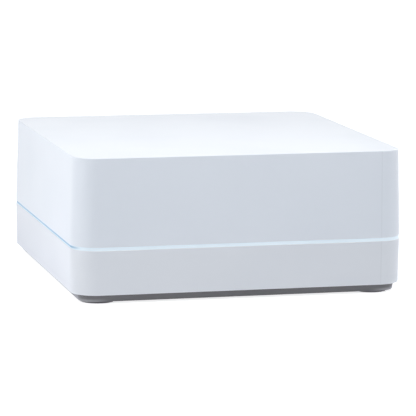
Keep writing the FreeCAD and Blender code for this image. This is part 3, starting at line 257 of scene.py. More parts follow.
def cutHole(piece, outline, low, high):
    combine(piece, [(slab(outline, low, high), True)], "DIFFERENCE")


def boxOutline(left, right, low, high):
    return np.array([(left, low), (right, low), (right, high), (left, high)])


def circleOutline(across, up, radius, steps=40):
    angles = np.linspace(0, 2 * math.pi, steps, endpoint=False)
    return np.stack([across + radius * np.cos(angles), up + radius * np.sin(angles)], axis=-1)


def flaredHole(outline, faceY, wall, flare):
    # Cutter for a hole through the rear wall whose mouth opens out at the outer face: rings of the
    # outline, from inside the wall to just outside the face, grown by the flare at the face
    middle = outline.mean(axis=0)
    span = np.abs(outline - middle).max(axis=0)
    rings = []
    for depth, grow in ((-wall - spare, 0), (-flare, 0), (0, flare), (spare, flare + spare)):
        ring = middle + (outline - middle) * (1 + grow / span)
        rings.append(np.column_stack([ring[:, 0], np.full(len(ring), faceY + depth), ring[:, 1]]))
    first, last = (np.tile((middle[0], faceY + depth, middle[1]), (len(outline), 1))
                   for depth in (-wall - spare, spare))
    return np.stack([first, *rings, last])


# Shader helpers. A source is a (node, output) pair, and a constant is set on the socket itself.

def addNode(tree, kind, **values):
    node = tree.nodes.new(kind)
    for name, value in values.items():
        setattr(node, name, value)
    return node


def feed(tree, node, entries):
    # Links each entry from its source, or sets it to its constant
    for entry, value in entries.items():
        if isinstance(value, tuple) and isinstance(value[0], bpy.types.Node):
            tree.links.new(value[0].outputs[value[1]], node.inputs[entry])
        else:
            node.inputs[entry].default_value = value
    return node


def mathNode(tree, operation, *values, clamp=False):
    node = addNode(tree, "ShaderNodeMath", operation=operation, use_clamp=clamp)
    return feed(tree, node, dict(enumerate(values))), 0


def rampNode(tree, value, start, full, low=0.0, high=1.0, smooth=True):
    # Carries start..full to low..high, and holds both ends
    node = addNode(tree, "ShaderNodeMapRange", interpolation_type="SMOOTHSTEP" if smooth else "LINEAR")
    entries = {"Value": value, "From Min": start, "From Max": full, "To Min": low, "To Max": high}
    return feed(tree, node, entries), "Result"


def noiseNode(tree, place, scale, detail, roughness=0.5):
    node = addNode(tree, "ShaderNodeTexNoise")
    return feed(tree, node, {"Vector": place, "Scale": scale, "Detail": detail, "Roughness": roughness}), "Fac"


def stretched(tree, place, scale, turn=(0.0, 0.0, 0.0)):
    node = addNode(tree, "ShaderNodeMapping")
    return feed(tree, node, {"Vector": place, "Scale": scale, "Rotation": turn}), "Vector"


def splitAxes(tree, place):
    node = feed(tree, addNode(tree, "ShaderNodeSeparateXYZ"), {"Vector": place})
    return {axis: (node, axis) for axis in ("X", "Y", "Z")}


def mixColours(tree, factor, first, second):
    # Each colour is a source, or a constant of red, green and blue
    first, second = ((*colour, 1.0) if len(colour) == 3 else colour for colour in (first, second))
    return feed(tree, addNode(tree, "ShaderNodeMix", data_type="RGBA"), {0: factor, 6: first, 7: second}), 2


def addBump(tree, shader, height, strength, depth):
    # Relief of a height source on the shader, its depth in millimetres
    bump = addNode(tree, "ShaderNodeBump")
    feed(tree, bump, {"Height": height, "Strength": strength, "Distance": depth * mm})
    feed(tree, shader, {"Normal": (bump, "Normal")})


def newGroup(name, values, outputs):
    # Group of a place and named numbers, which gives out numbers that change over the surface
    tree = bpy.data.node_groups.new(name, "ShaderNodeTree")
    tree.interface.new_socket(name="Vector", in_out="INPUT", socket_type="NodeSocketVector")
    for title, usual in values.items():
        socket = tree.interface.new_socket(name=title, in_out="INPUT", socket_type="NodeSocketFloat")
        socket.default_value = usual
    for title in outputs:
        tree.interface.new_socket(name=title, in_out="OUTPUT", socket_type="NodeSocketFloat")
    return tree, tree.nodes.new("NodeGroupInput"), tree.nodes.new("NodeGroupOutput")


# Surface effects that several finishes share

def makeMouldedGrain():
    # Fine spark-eroded texture: 0.6 of small noise and 0.5 of round cells, as a height
    tree, entry, result = newGroup("mouldedGrain", {"Grain": 3000.0}, ("Height",))
    place, scale = (entry, "Vector"), (entry, "Grain")
    cells = addNode(tree, "ShaderNodeTexVoronoi", feature="SMOOTH_F1")
    feed(tree, cells, {"Vector": place, "Scale": scale, "Smoothness": 0.6})
    rounded = mathNode(tree, "MULTIPLY", (cells, "Distance"), 0.5)
    noise = noiseNode(tree, place, scale, detail=3, roughness=0.6)
    feed(tree, result, {"Height": mathNode(tree, "MULTIPLY_ADD", noise, 0.6, rounded)})
    return tree


def makeHandledSurface():
    # Broad soft patches where the surface was handled, and thin wiping marks, each 0 to 1
    tree, entry, result = newGroup("handledSurface", {"Patch": 30.0}, ("Smudge", "Wipe"))
    place, scale = (entry, "Vector"), (entry, "Patch")
    patches = noiseNode(tree, place, scale, detail=4)
    wiped = stretched(tree, place, scale=(1.0, 9.0, 14.0), turn=(0.3, 0.2, 0.7))
    marks = noiseNode(tree, wiped, scale, detail=6, roughness=0.7)
    smudge = rampNode(tree, patches, start=0.38, full=0.66)
    wipe = rampNode(tree, marks, start=0.52, full=0.7)
    feed(tree, result, {"Smudge": smudge, "Wipe": wipe})
    return tree


def makeSettledDust():
    # Sparse dust on faces that look up: noise above a threshold, times the upward part of the normal
    tree, entry, result = newGroup("settledDust", {"Fineness": 900.0}, ("Dust",))
    surface = addNode(tree, "ShaderNodeNewGeometry")
    upward = mathNode(tree, "MAXIMUM", splitAxes(tree, (surface, "Normal"))["Z"], 0.0)
    specks = noiseNode(tree, (entry, "Vector"), (entry, "Fineness"), detail=5, roughness=0.75)
    sparse = rampNode(tree, specks, start=0.62, full=0.74)
    feed(tree, result, {"Dust": mathNode(tree, "MULTIPLY", upward, sparse)})
    return tree


def makeBrushedLines():
    # Fine drawn lines along X, from noise stretched by a mapping, as a height from 0 to 1
    tree, entry, result = newGroup("brushedLines", {"Lines": 2500.0}, ("Height",))
    drawn = stretched(tree, (entry, "Vector"), scale=(0.04, 1.0, 1.0))
    feed(tree, result, {"Height": noiseNode(tree, drawn, (entry, "Lines"), detail=4)})
    return tree


# Reach of the painted highlight on the lower corners of the base
cornerHighlightReach = {
    "plan": (49.0 * mm, 57.0 * mm),       # from none to full painted highlight, along X and along Y
    "level": (2.3 * mm, 1.0 * mm),        # and down towards the ground
}


def makeCornerHighlight():
    # Painted highlight on the corners of the base, lighter near the ground: the product of three
    # smooth steps, on |X|, on |Y| and on Z downwards
    tree, entry, result = newGroup("cornerHighlight", {}, ("Highlight",))
    parts = splitAxes(tree, (entry, "Vector"))
    steps = []
    for axis, way in (("X", "plan"), ("Y", "plan"), ("Z", "level")):
        steps.append(rampNode(tree, mathNode(tree, "ABSOLUTE", parts[axis]), *cornerHighlightReach[way]))
    plan = mathNode(tree, "MULTIPLY", steps[0], steps[1])
    feed(tree, result, {"Highlight": mathNode(tree, "MULTIPLY", plan, steps[2])})
    return tree


# Places of the painted shade line at the corner tangents and of the painted light along the band's lower edge
paintedLinePlaces = {
    "end": 53.8 * mm,                     # where the upright line is, from the middle of each face
    "width": 0.4 * mm,
    "faceStart": 60.0 * mm,               # points further out than this are on the face
    "edgeLightStart": 0.55 * mm,               # painted light along the lowest part of the band, from its lower edge
    "edgeLightFull": 0.15 * mm,
}


def makeTangentShadeAndEdgeLight():
    # Painted shade: a fine darker upright line where the corner round starts, at the right-hand end of
    # each face, 1 on the line and 0 beside it: its distance is |Y * sign(X) - end| on the sides and
    # |-X * sign(Y) - end| on the front and rear. The edge mark is painted light, 1 along the lowest
    # part of the band, and 0 above it.
    usual = {"End": paintedLinePlaces["end"], "Width": paintedLinePlaces["width"]}
    tree, entry, result = newGroup("tangentShadeAndEdgeLight", usual, ("Line", "EdgeLight"))
    parts = splitAxes(tree, (entry, "Vector"))
    lines = []
    for along, across, turn in (("Y", "X", 1), ("X", "Y", -1)):
        place = mathNode(tree, "MULTIPLY", parts[along], mathNode(tree, "SIGN", parts[across]))
        offset = mathNode(tree, "SUBTRACT", mathNode(tree, "MULTIPLY", place, turn), (entry, "End"))
        beside = mathNode(tree, "ABSOLUTE", offset)
        line = rampNode(tree, beside, 0.0, (entry, "Width"), low=1.0, high=0.0)
        outwards = mathNode(tree, "ABSOLUTE", parts[across])
        onFace = mathNode(tree, "GREATER_THAN", outwards, paintedLinePlaces["faceStart"])
        lines.append(mathNode(tree, "MULTIPLY", line, onFace))
    edge = rampNode(tree, parts["Z"], bandLow.z + paintedLinePlaces["edgeLightStart"], bandLow.z + paintedLinePlaces["edgeLightFull"])
    feed(tree, result, {"Line": mathNode(tree, "MAXIMUM", *lines), "EdgeLight": edge})
    return tree


mouldedGrain = makeMouldedGrain()
handledSurface = makeHandledSurface()
settledDust = makeSettledDust()
brushedLines = makeBrushedLines()
cornerHighlight = makeCornerHighlight()
tangentShadeAndEdgeLight = makeTangentShadeAndEdgeLight()


# Finishes

def placeGroup(tree, group, coordinates, **values):
    node = addNode(tree, "ShaderNodeGroup", node_tree=group)
    return feed(tree, node, {"Vector": (coordinates, "Object"), **values})


def startMaterial(name):
    material = bpy.data.materials.new(name)
    material.use_nodes = True
    tree = material.node_tree
    return material, tree, tree.nodes["Principled BSDF"], addNode(tree, "ShaderNodeTexCoord")


plainFinish = {
    "patch": 30.0,                        # handled patches in a metre
    "variation": 0.5,                     # how far a patch goes from the colour to the shade
    "roughChange": 0.06,                  # in a patch
    "wipeChange": -0.03,                  # in a wiping mark
    "grain": 3000.0,                      # cells of the moulded grain in a metre
    "lines": 0.0,                         # drawn lines in a metre, in place of the grain
    "bump": 0.25,
    "depth": 0.02,                        # of the relief, in millimetres
    "metal": 0.0,
    "dust": 0.0,
    "dustColour": (0.62, 0.62, 0.62),
    "line": 0.0,                          # contrast of the painted shade line at the corner tangents and of the painted edge light
    "cornerHighlightColour": None,                       # colour of the painted highlight on the base corners
}


def makeFinish(name, look):
    # One finish: a colour with a shadier patch colour, roughness that varies with handling, and
    # moulded grain or drawn lines as relief
    look = {**plainFinish, **look}
    material, tree, shader, coordinates = startMaterial(name)
    handled = placeGroup(tree, handledSurface, coordinates, Patch=look["patch"])
    patchy = mathNode(tree, "MULTIPLY", (handled, "Smudge"), look["variation"], clamp=True)
    colour = mixColours(tree, patchy, look["colour"], look["shade"])
    if look["dust"]:
        fallen = placeGroup(tree, settledDust, coordinates)
        amount = mathNode(tree, "MULTIPLY", (fallen, "Dust"), look["dust"], clamp=True)
        colour = mixColours(tree, amount, colour, look["dustColour"])
    # Painted shade along the corner tangents, and painted light along the lowest edge of the band
    if look["line"]:
        paintedMarks = placeGroup(tree, tangentShadeAndEdgeLight, coordinates)
        for mark, contrast in (("Line", -look["line"]), ("EdgeLight", look["line"])):
            tone = tuple(part * (1 + contrast) for part in look["colour"])
            colour = mixColours(tree, (paintedMarks, mark), colour, tone)
    # Painted highlight: the lower corners of the base turn lighter, in place of light that they catch
    if look["cornerHighlightColour"]:
        highlit = placeGroup(tree, cornerHighlight, coordinates)
        colour = mixColours(tree, (highlit, "Highlight"), colour, look["cornerHighlightColour"])
    rough = mathNode(tree, "MULTIPLY_ADD", (handled, "Smudge"), look["roughChange"], look["rough"])
    wiped = mathNode(tree, "MULTIPLY_ADD", (handled, "Wipe"), look["wipeChange"], rough)
    feed(tree, shader, {"Base Color": colour, "Roughness": wiped, "Metallic": look["metal"]})
    if look["lines"]:
        relief = placeGroup(tree, brushedLines, coordinates, Lines=look["lines"])
    else:
        relief = placeGroup(tree, mouldedGrain, coordinates, Grain=look["grain"])
    addBump(tree, shader, (relief, "Height"), look["bump"], look["depth"])
    return material


finishes = {
    # The line entries of both shells set painted shade at the corner tangents and painted light at the band's
    # lower edge
    "whiteShell": {"colour": (0.772, 0.807, 0.85), "shade": (0.757, 0.793, 0.837), "rough": 0.36,
                   "roughChange": 0.04, "grain": 2600.0, "bump": 0.12, "depth": 0.012,
                   "dust": 0.05, "line": 0.055},
    "bandShell": {"colour": (0.767, 0.787, 0.813), "shade": (0.752, 0.775, 0.806), "rough": 0.38,
                  "roughChange": 0.04, "grain": 2600.0, "bump": 0.12, "depth": 0.012,
                  "dust": 0.05, "line": 0.055},
    # The corner colour of the base is a painted highlight
    "greyBase": {"colour": (0.157, 0.154, 0.152), "shade": (0.148, 0.145, 0.144), "rough": 0.36,
                 "grain": 1800.0, "bump": 0.4, "depth": 0.03, "cornerHighlightColour": (0.4, 0.395, 0.4)},
    "footRubber": {"colour": (0.215, 0.205, 0.212), "shade": (0.16, 0.152, 0.158), "rough": 0.55,
                   "grain": 1500.0, "bump": 0.5, "depth": 0.04, "patch": 120.0},
    "zincScrew": {"colour": (0.56, 0.56, 0.57), "shade": (0.42, 0.42, 0.44), "rough": 0.3, "metal": 1.0,
                  "lines": 4000.0, "bump": 0.2, "patch": 300.0},
    "blackPlastic": {"colour": (0.022, 0.022, 0.024), "shade": (0.03, 0.03, 0.032), "rough": 0.42,
                     "grain": 4000.0, "bump": 0.3, "patch": 150.0},
    "tinSheet": {"colour": (0.56, 0.56, 0.56), "shade": (0.45, 0.45, 0.455), "rough": 0.26, "metal": 1.0,
                 "lines": 3000.0, "bump": 0.12, "depth": 0.01, "patch": 140.0},
    "goldContact": {"colour": (0.83, 0.6, 0.25), "shade": (0.74, 0.52, 0.2), "rough": 0.2, "metal": 1.0,
                    "lines": 5000.0, "bump": 0.1, "depth": 0.005, "patch": 300.0},
    "nickelPin": {"colour": (0.64, 0.62, 0.58), "shade": (0.54, 0.52, 0.49), "rough": 0.18, "metal": 1.0,
                  "lines": 5000.0, "bump": 0.1, "depth": 0.005, "patch": 300.0},
    "buttonGrey": {"colour": (0.6, 0.63, 0.67), "shade": (0.56, 0.59, 0.63), "rough": 0.34,
                   "grain": 3500.0, "bump": 0.15, "depth": 0.012, "patch": 150.0},
    "chipEpoxy": {"colour": (0.035, 0.035, 0.038), "shade": (0.05, 0.05, 0.052), "rough": 0.5,
                  "grain": 6000.0, "bump": 0.4, "depth": 0.015, "patch": 200.0, "dust": 0.1},
    "lampWhite": {"colour": (0.8, 0.79, 0.7), "shade": (0.7, 0.66, 0.45), "rough": 0.3,
                  "grain": 6000.0, "bump": 0.1, "patch": 500.0},
    "ceramicTan": {"colour": (0.32, 0.21, 0.12), "shade": (0.4, 0.3, 0.2), "rough": 0.45,
                   "grain": 7000.0, "bump": 0.4, "depth": 0.01, "patch": 400.0},
    "aluminiumCan": {"colour": (0.74, 0.74, 0.75), "shade": (0.64, 0.64, 0.66), "rough": 0.27, "metal": 1.0,
                     "lines": 3500.0, "bump": 0.15, "depth": 0.01, "patch": 160.0},
    "copperTrack": {"colour": (0.72, 0.45, 0.26), "shade": (0.6, 0.36, 0.2), "rough": 0.28, "metal": 1.0,
                    "lines": 4500.0, "bump": 0.15, "depth": 0.005, "patch": 200.0},
    "ferriteBlock": {"colour": (0.06, 0.06, 0.065), "shade": (0.1, 0.1, 0.105), "rough": 0.6,
                     "grain": 3500.0, "bump": 0.6, "depth": 0.03, "patch": 250.0},
}
materials = {name: makeFinish(name, look) for name, look in finishes.items()}


lightLine = {
    "frontGlow": (0.395, 0.445, 0.475),   # light sent out along the front and rear
    "frontTint": (0.36, 0.42, 0.47),      # colour of the plastic itself
    # Painted shade: the side colours stand in for the shade of the recess seen at a grazing angle
    "sideShadedGlow": (0.01, 0.095, 0.18),      # painted shade: darker and deeper along the two sides
    "sideShadedTint": (0.02, 0.13, 0.23),
    "sideStart": 60.0 * mm,               # distance from the middle where the side colour begins
    "sideFull": 63.5 * mm,
    "sidePower": 1.8,
    "rightLess": 0.6 * mm,                # the right side begins this much further out
    "fadeHeight": 0.35 * mm,              # below the cover, pale turns to the painted side shade over this height
    "paleHeight": 0.5 * mm,               # and just above the band it turns pale again
    "patch": 45.0,
    "smudge": 0.05,
    "rough": 0.3,
    "grain": 4000.0,
    "bump": 0.1,
    "depth": 0.01,
}


def makeLightGuide():
    # Milky clear plastic that glows from inside: pale along the front, with painted shade along the
    # sides, deeper and darker there, while its upper and lower edges, next to the white shells, stay pale
    material, tree, shader, coordinates = startMaterial("lightGuide")
    parts = splitAxes(tree, (coordinates, "Object"))
    left = mathNode(tree, "MULTIPLY", parts["X"], -1)
    right = mathNode(tree, "SUBTRACT", parts["X"], lightLine["rightLess"])
    away = mathNode(tree, "MAXIMUM", left, right)
    outer = rampNode(tree, away, lightLine["sideStart"], lightLine["sideFull"], smooth=False)
    upper = rampNode(tree, parts["Z"], coverRim, coverRim - lightLine["fadeHeight"], smooth=False)
    lower = rampNode(tree, parts["Z"], bandHigh.z + lightLine["paleHeight"], bandHigh.z, smooth=False)
    level = mathNode(tree, "MULTIPLY", upper, mathNode(tree, "SUBTRACT", 1.0, lower))
    # Painted shade on the sides, deepest in the middle of the line's height
    sideShade = mathNode(tree, "MULTIPLY", mathNode(tree, "POWER", outer, lightLine["sidePower"]), level)
    tint = mixColours(tree, sideShade, lightLine["frontTint"], lightLine["sideShadedTint"])
    handled = placeGroup(tree, handledSurface, coordinates, Patch=lightLine["patch"])
    faint = mathNode(tree, "MULTIPLY", (handled, "Smudge"), lightLine["smudge"])
    feed(tree, shader, {
        "Base Color": mixColours(tree, faint, tint, (1.0, 1.0, 1.0)),
        "Emission Color": mixColours(tree, sideShade, lightLine["frontGlow"], lightLine["sideShadedGlow"]),
        "Emission Strength": 1.0,
        "Roughness": lightLine["rough"],
    })
    grain = placeGroup(tree, mouldedGrain, coordinates, Grain=lightLine["grain"])
    addBump(tree, shader, (grain, "Height"), lightLine["bump"], lightLine["depth"])
    return material


lacquer = {
    "colour": (0.012, 0.075, 0.035),
    "track": (0.022, 0.125, 0.055),
    "pad": (0.72, 0.6, 0.36),
    "trackScale": 21.0,                   # a wave texture has about 20 bands to one of these
    "trackGap": 0.62,                     # share of each band between two tracks
    "areaPitch": 70.0,                    # areas of one direction in a metre
    "bareShare": 0.35,                    # of the areas, without tracks
    "padPitch": 330.0,
    "padRadius": 0.16,                    # as a share of the pitch
    "rough": 0.3,
    "coat": 0.3,
    "bump": 0.6,
    "depth": 0.03,
}


def makeBoardLacquer():
    # Green lacquer over copper: bands along X and Y in patches are tracks, and round cells are pads
    material, tree, shader, coordinates = startMaterial("boardLacquer")
    place = (coordinates, "Object")
    bands = []
    for direction in ("X", "Y"):
        wave = addNode(tree, "ShaderNodeTexWave", bands_direction=direction, wave_profile="SAW")
        feed(tree, wave, {"Vector": place, "Scale": lacquer["trackScale"], "Distortion": 0.0})
        bands.append(mathNode(tree, "GREATER_THAN", (wave, "Fac"), lacquer["trackGap"]))
    areas = addNode(tree, "ShaderNodeTexVoronoi", distance="CHEBYCHEV")
    feed(tree, areas, {"Vector": place, "Scale": lacquer["areaPitch"]})
    split = feed(tree, addNode(tree, "ShaderNodeSeparateColor"), {"Color": (areas, "Color")})
    choose = mathNode(tree, "GREATER_THAN", (split, "Red"), 0.5)
    routed = addNode(tree, "ShaderNodeMix", data_type="FLOAT")
    feed(tree, routed, {0: choose, 2: bands[0], 3: bands[1]})
    covered = mathNode(tree, "GREATER_THAN", (split, "Green"), lacquer["bareShare"])
    track = mathNode(tree, "MULTIPLY", (routed, 0), covered)
    dots = addNode(tree, "ShaderNodeTexVoronoi")
    feed(tree, dots, {"Vector": place, "Scale": lacquer["padPitch"]})
    pad = mathNode(tree, "LESS_THAN", (dots, "Distance"), lacquer["padRadius"])
    green = mixColours(tree, track, lacquer["colour"], lacquer["track"])
    feed(tree, shader, {
        "Base Color": mixColours(tree, pad, green, lacquer["pad"]),
        "Metallic": pad,
        "Roughness": lacquer["rough"],
        "Coat Weight": lacquer["coat"],
    })
    addBump(tree, shader, track, lacquer["bump"], lacquer["depth"])
    return material


materials["lightGuide"] = makeLightGuide()
materials["boardLacquer"] = makeBoardLacquer()
print("materials made")

# Nodes whose solid is right keep it and get a finish
finishOfNode = {
    "light_guide": "lightGuide",
    "main_board": "boardLacquer",
    "antenna_board": "boardLacquer",
    "guide_leds": "lampWhite",
    "ethernet_jack_body": "blackPlastic",
    "ethernet_jack_shield": "tinSheet",
    "ethernet_jack_contacts": "goldContact",
    "ethernet_transformer": "chipEpoxy",
    "ethernet_chip": "chipEpoxy",
    "power_jack_body": "blackPlastic",
    "power_jack_contact": "nickelPin",
    "link_switch_plunger": "blackPlastic",
    "link_switch_body": "blackPlastic",
    "processor_chip": "chipEpoxy",
    "memory_chip": "chipEpoxy",
    "flash_chip": "chipEpoxy",
    "ceramic_capacitors": "ceramicTan",
    "crystal": "tinSheet",
    "radio_chip": "chipEpoxy",
    "radio_shield": "tinSheet",
    "antenna_header": "blackPlastic",
    "antenna_track": "copperTrack",
    "power_inductor": "ferriteBlock",
    "regulator_chip": "chipEpoxy",
}
for node, finish in finishOfNode.items():
    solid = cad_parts[node]
    solid.data.materials.clear()
    solid.data.materials.append(materials[finish])


# Housing shells

squareRing = squarePath(bodyHalf, housing["cornerRadius"], housing["cornerSteps"])
footLow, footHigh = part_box("foot_front_right")
screwAt = (footLow.x + footHigh.x) / 2    # each screw stands over the middle of a foot
screwPlaces = [(x * screwAt, y * screwAt) for x, y in ((1, 1), (-1, 1), (-1, -1), (1, -1))]


def closeToAxis(profile, level, first):
    # Rows that carry a flat face on to the axis of the housing, before or after the profile, and
    # the shrink of every row
    inset = 0.75 * housing["cornerRadius"]
    shrink = np.array([1.0, 0.7, 0.35, 0.0])
    rows = np.array([(inset, level)] * len(shrink))
    full = np.ones(len(profile))
    if first:
        return np.concatenate([rows, profile]), np.concatenate([shrink[::-1], full])
    return np.concatenate([profile, rows]), np.concatenate([full, shrink])


def makeCoverShell():
    # Profile from the middle of the ceiling down the inner wall, round the rim and up to the top
    lean = math.tan(housing["coverDraft"])
    tall = coverTop - coverRim
    ceiling = coverTop - housing["roof"]
    wall = housing["wall"]
    ceilingEdge = wall + lean * (ceiling - coverRim)
    outline = softOutline((
        (ceilingEdge + housing["flatStart"], ceiling, 0),
        (ceilingEdge, ceiling, housing["innerRound"]),
        (wall, coverRim, housing["innerLip"]),
        (0, coverRim, housing["lipRound"]),
        (lean * tall, coverTop, housing["topRound"]),
        (lean * tall + housing["flatStart"], coverTop, 0),
    ), steps=7, closed=False)
    profile, before = closeToAxis(outline, ceiling, True)
    profile, after = closeToAxis(profile, coverTop, False)
    shrink = np.concatenate([before, after[len(before):]])
    piece = newObject("coverShell", [(carry(profile, squareRing, housing["cornerRadius"], shrink), True)])

    # Ribs under the roof, and square bosses with webs to both walls
    bite = bodyHalf - wall / 2 - lean * tall
    thin = housing["ribWidth"] / 2
    sunk = ceiling + housing["roof"] / 2
    low = ceiling - housing["ribDepth"]
    for at in (-housing["ribSpacing"], housing["ribSpacing"]):
        addBlock(piece, boxOutline(-bite, bite, at - thin, at + thin), low, sunk)
        addBlock(piece, boxOutline(at - thin, at + thin, -bite, bite), low, sunk)
    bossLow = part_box("top_cover")[0].z
    webLow = coverRim + housing["webStart"]
    half = housing["bossWidth"] / 2
    for x, y in screwPlaces:
        wallX = math.copysign(bite, x)
        wallY = math.copysign(bite, y)
        addBlock(piece, boxOutline(min(x, wallX), max(x, wallX), y - thin, y + thin), webLow, sunk)
        addBlock(piece, boxOutline(x - thin, x + thin, min(y, wallY), max(y, wallY)), webLow, sunk)
        addBlock(piece, boxOutline(x - half, x + half, y - half, y + half), bossLow, sunk)
        hole = circleOutline(x, y, housing["bossHole"] / 2, steps=24)
        cutHole(piece, hole, bossLow - spare, bossLow + housing["bossHoleDepth"])
    return finishPiece(piece, materials["whiteShell"], "housing", ["top_cover"])


ports = {
    "clearance": 0.2 * mm,                # round the network socket
    "flare": 0.3 * mm,                    # bevel round each hole, at the outer face
    "jackCorner": 0.35 * mm,
    "powerHole": 8.6 * mm,
    "buttonFit": 0.2 * mm,
    "buttonCap": 5.6 * mm,
}


def makeBandShell():
    # Closed profile: outer face, lip, inner face, flange and lower edge
    lean = math.tan(housing["bandDraft"])
    wall = housing["wall"]
    flangeTop = bandLow.z + housing["flangeThickness"]
    outline = softOutline((
        (lean * (bandHigh.z - bandLow.z), bandLow.z, housing["bandRound"]),
        (0, bandHigh.z, housing["lipRound"]),
        (wall, bandHigh.z, housing["innerLip"]),
        (wall, flangeTop, housing["wallFoot"]),
        (housing["flangeReach"], flangeTop, housing["flangeRound"]),
        (housing["flangeReach"], bandLow.z, housing["flangeRound"]),
    ), steps=7)
    outline = np.concatenate([outline, outline[:1]])
    piece = newObject("bandShell", [(carry(outline, squareRing, housing["cornerRadius"]), True)])

    jackLow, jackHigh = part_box("ethernet_jack_shield")
    powerLow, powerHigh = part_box("power_jack_pin")
    buttonLow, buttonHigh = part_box("link_button")
    gap = ports["clearance"]
    jackHole = softOutline((
        (jackLow.x - gap, jackLow.z - gap, ports["jackCorner"]),
        (jackHigh.x + gap, jackLow.z - gap, ports["jackCorner"]),
        (jackHigh.x + gap, jackHigh.z + gap, ports["jackCorner"]),
        (jackLow.x - gap, jackHigh.z + gap, ports["jackCorner"]),
    ), steps=4)
    powerHole = circleOutline((powerLow.x + powerHigh.x) / 2, (powerLow.z + powerHigh.z) / 2,
                              ports["powerHole"] / 2, steps=48)
    buttonHole = circleOutline((buttonLow.x + buttonHigh.x) / 2, (buttonLow.z + buttonHigh.z) / 2,
                               ports["buttonCap"] / 2 + ports["buttonFit"])
    for hole in (jackHole, powerHole, buttonHole):
        faceY = bodyHalf - lean * (bandHigh.z - hole[:, 1].mean())
        combine(piece, [(flaredHole(hole, faceY, wall, ports["flare"]), True)], "DIFFERENCE")
    return finishPiece(piece, materials["bandShell"], "housing", ["lower_band"])


base = {
    "inset": 2.35 * mm,                   # of the step, in from the outer face of the housing
    "cornerRadius": 5.8 * mm,
    "draft": math.radians(10.0),
    "lowerRound": 0.48 * mm,
    "floor": 1.8 * mm,
    "rimOuter": 4.75 * mm,                # locating rim, in from the same face
    "rimInner": 5.75 * mm,
    "floorRound": 0.2 * mm,               # where the floor meets the rim
    "rimInnerRound": 0.1 * mm,
    "rimOuterRound": 0.15 * mm,
    "stepRound": 0.15 * mm,
    "ventCount": 7,
    "ventLength": 30.0 * mm,
    "ventWidth": 1.8 * mm,
    "ventPitch": 5.0 * mm,
    "seatFit": 0.1 * mm,                  # round each foot, in its seat
    "seatDepth": 0.8 * mm,
    "headHole": 5.7 * mm,
    "headTop": 3.8 * mm,                  # height at which the screw heads bear
    "shankHole": 3.2 * mm,
    "postWidth": 8.2 * mm,                # posts that carry the board
}


def slotOutline(across, up, length, width, steps=10):
    # Straight slot with round ends: two half circles joined by its sides
    angles = np.linspace(-math.pi / 2, math.pi / 2, steps + 1)
    end = np.stack([(length - width) / 2 + width / 2 * np.cos(angles), width / 2 * np.sin(angles)], axis=-1)
    return np.array([across, up]) + np.concatenate([end, -end])


def makeBaseShell():
    # Profile from the middle of the floor out under the rim, down the step and in underneath
    step = bandLow.z
    under = baseLow.z
    floorTop = under + base["floor"]
    half = bodyHalf - base["inset"]
    lean = math.tan(base["draft"])
    radius = base["cornerRadius"]
    flat = 0.8 * radius                   # inset of the first ring of both flats
    ring = squarePath(half, radius, housing["cornerSteps"])
    outer = base["rimOuter"] - base["inset"]
    inner = base["rimInner"] - base["inset"]
    outline = softOutline((
        (flat, floorTop, 0),
        (inner, floorTop, base["floorRound"]),
        (inner, baseHigh.z, base["rimInnerRound"]),
        (outer, baseHigh.z, base["rimOuterRound"]),
        (outer, step, 0),
        (0, step, base["stepRound"]),
        (lean * (step - under), under, base["lowerRound"]),
        (flat, under, 0),
    ), steps=6, closed=False)
    shrink = np.concatenate([[0.0, 0.5], np.ones(len(outline)), [0.5, 0.0]])
    profile = np.concatenate([[outline[0]] * 2, outline, [outline[-1]] * 2])
    piece = newObject("baseShell", [(carry(profile, ring, radius, shrink), True)])

    seatRadius = (footHigh.x - footLow.x) / 2 + base["seatFit"]
    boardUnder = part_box("main_board")[0].z
    post = base["postWidth"] / 2
    for x, y in screwPlaces:
        block = boxOutline(x - post, x + post, y - post, y + post)
        addBlock(piece, block, under + base["seatDepth"] / 2, boardUnder)
        for holeRadius, top in ((seatRadius, under + base["seatDepth"]),
                                (base["headHole"] / 2, base["headTop"]),
                                (base["shankHole"] / 2, boardUnder + spare)):
            cutHole(piece, circleOutline(x, y, holeRadius, steps=56), under - spare, top)
    vents = []
    for index in range(base["ventCount"]):
        middle = (index - (base["ventCount"] - 1) / 2) * base["ventPitch"]
        vent = slotOutline(0, middle, base["ventLength"], base["ventWidth"])
        vents.append((slab(vent, under - spare, floorTop + spare), True))
    combine(piece, vents, "DIFFERENCE")
    return finishPiece(piece, materials["greyBase"], "housing", ["base_plate"])


foot = {
    "groundRound": 0.2 * mm,
    "topRound": 0.1 * mm,
    "dish": 0.08 * mm,                    # height of the hollow underneath
    "dishEdge": 1.2 * mm,                 # width of the ring that it stands on
    "dishRound": 0.5 * mm,
    "ringRound": 0.3 * mm,
}


def makeFeet():
    # Turned outline: a shallow hollow underneath, a round ground edge and a flat stuck face
    for side, place in (("FrontLeft", "front_left"), ("FrontRight", "front_right"),
                        ("RearLeft", "rear_left"), ("RearRight", "rear_right")):
        low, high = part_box(f"foot_{place}")
        radius = (high.x - low.x) / 2
        outline = softOutline((
            (0, foot["dish"], 0),
            (radius - 2 * foot["dishEdge"], foot["dish"], foot["dishRound"]),
            (radius - foot["dishEdge"], 0, foot["ringRound"]),
            (radius, 0, foot["groundRound"]),
            (radius, high.z, foot["topRound"]),
            (0, high.z, 0),
        ), steps=5, closed=False)
        centre = ((low.x + high.x) / 2, (low.y + high.y) / 2, 0)
        piece = newObject(f"foot{side}", [(turnedSurface(outline, centre, (0, 0, 1), steps=64), True)])
        finishPiece(piece, materials["footRubber"], "housing", [f"foot_{place}"])


screw = {
    "head": 5.5 * mm,
    "headHeight": 1.9 * mm,
    "headRound": 0.7 * mm,
    "underRound": 0.1 * mm,
    "core": 2.5 * mm,
    "threadDepth": 0.22 * mm,
    "ridgeSlope": 5,                      # how fast the thread rises, in depths to a pitch
    "pitch": 1.0 * mm,
    "pitchRows": 10,                      # rows of points in one pitch
    "steps": 24,
    "taper": 1.2 * mm,                    # pointed end
    "recess": 3.0 * mm,
    "recessWidth": 0.75 * mm,
    "recessDepth": 1.2 * mm,
}


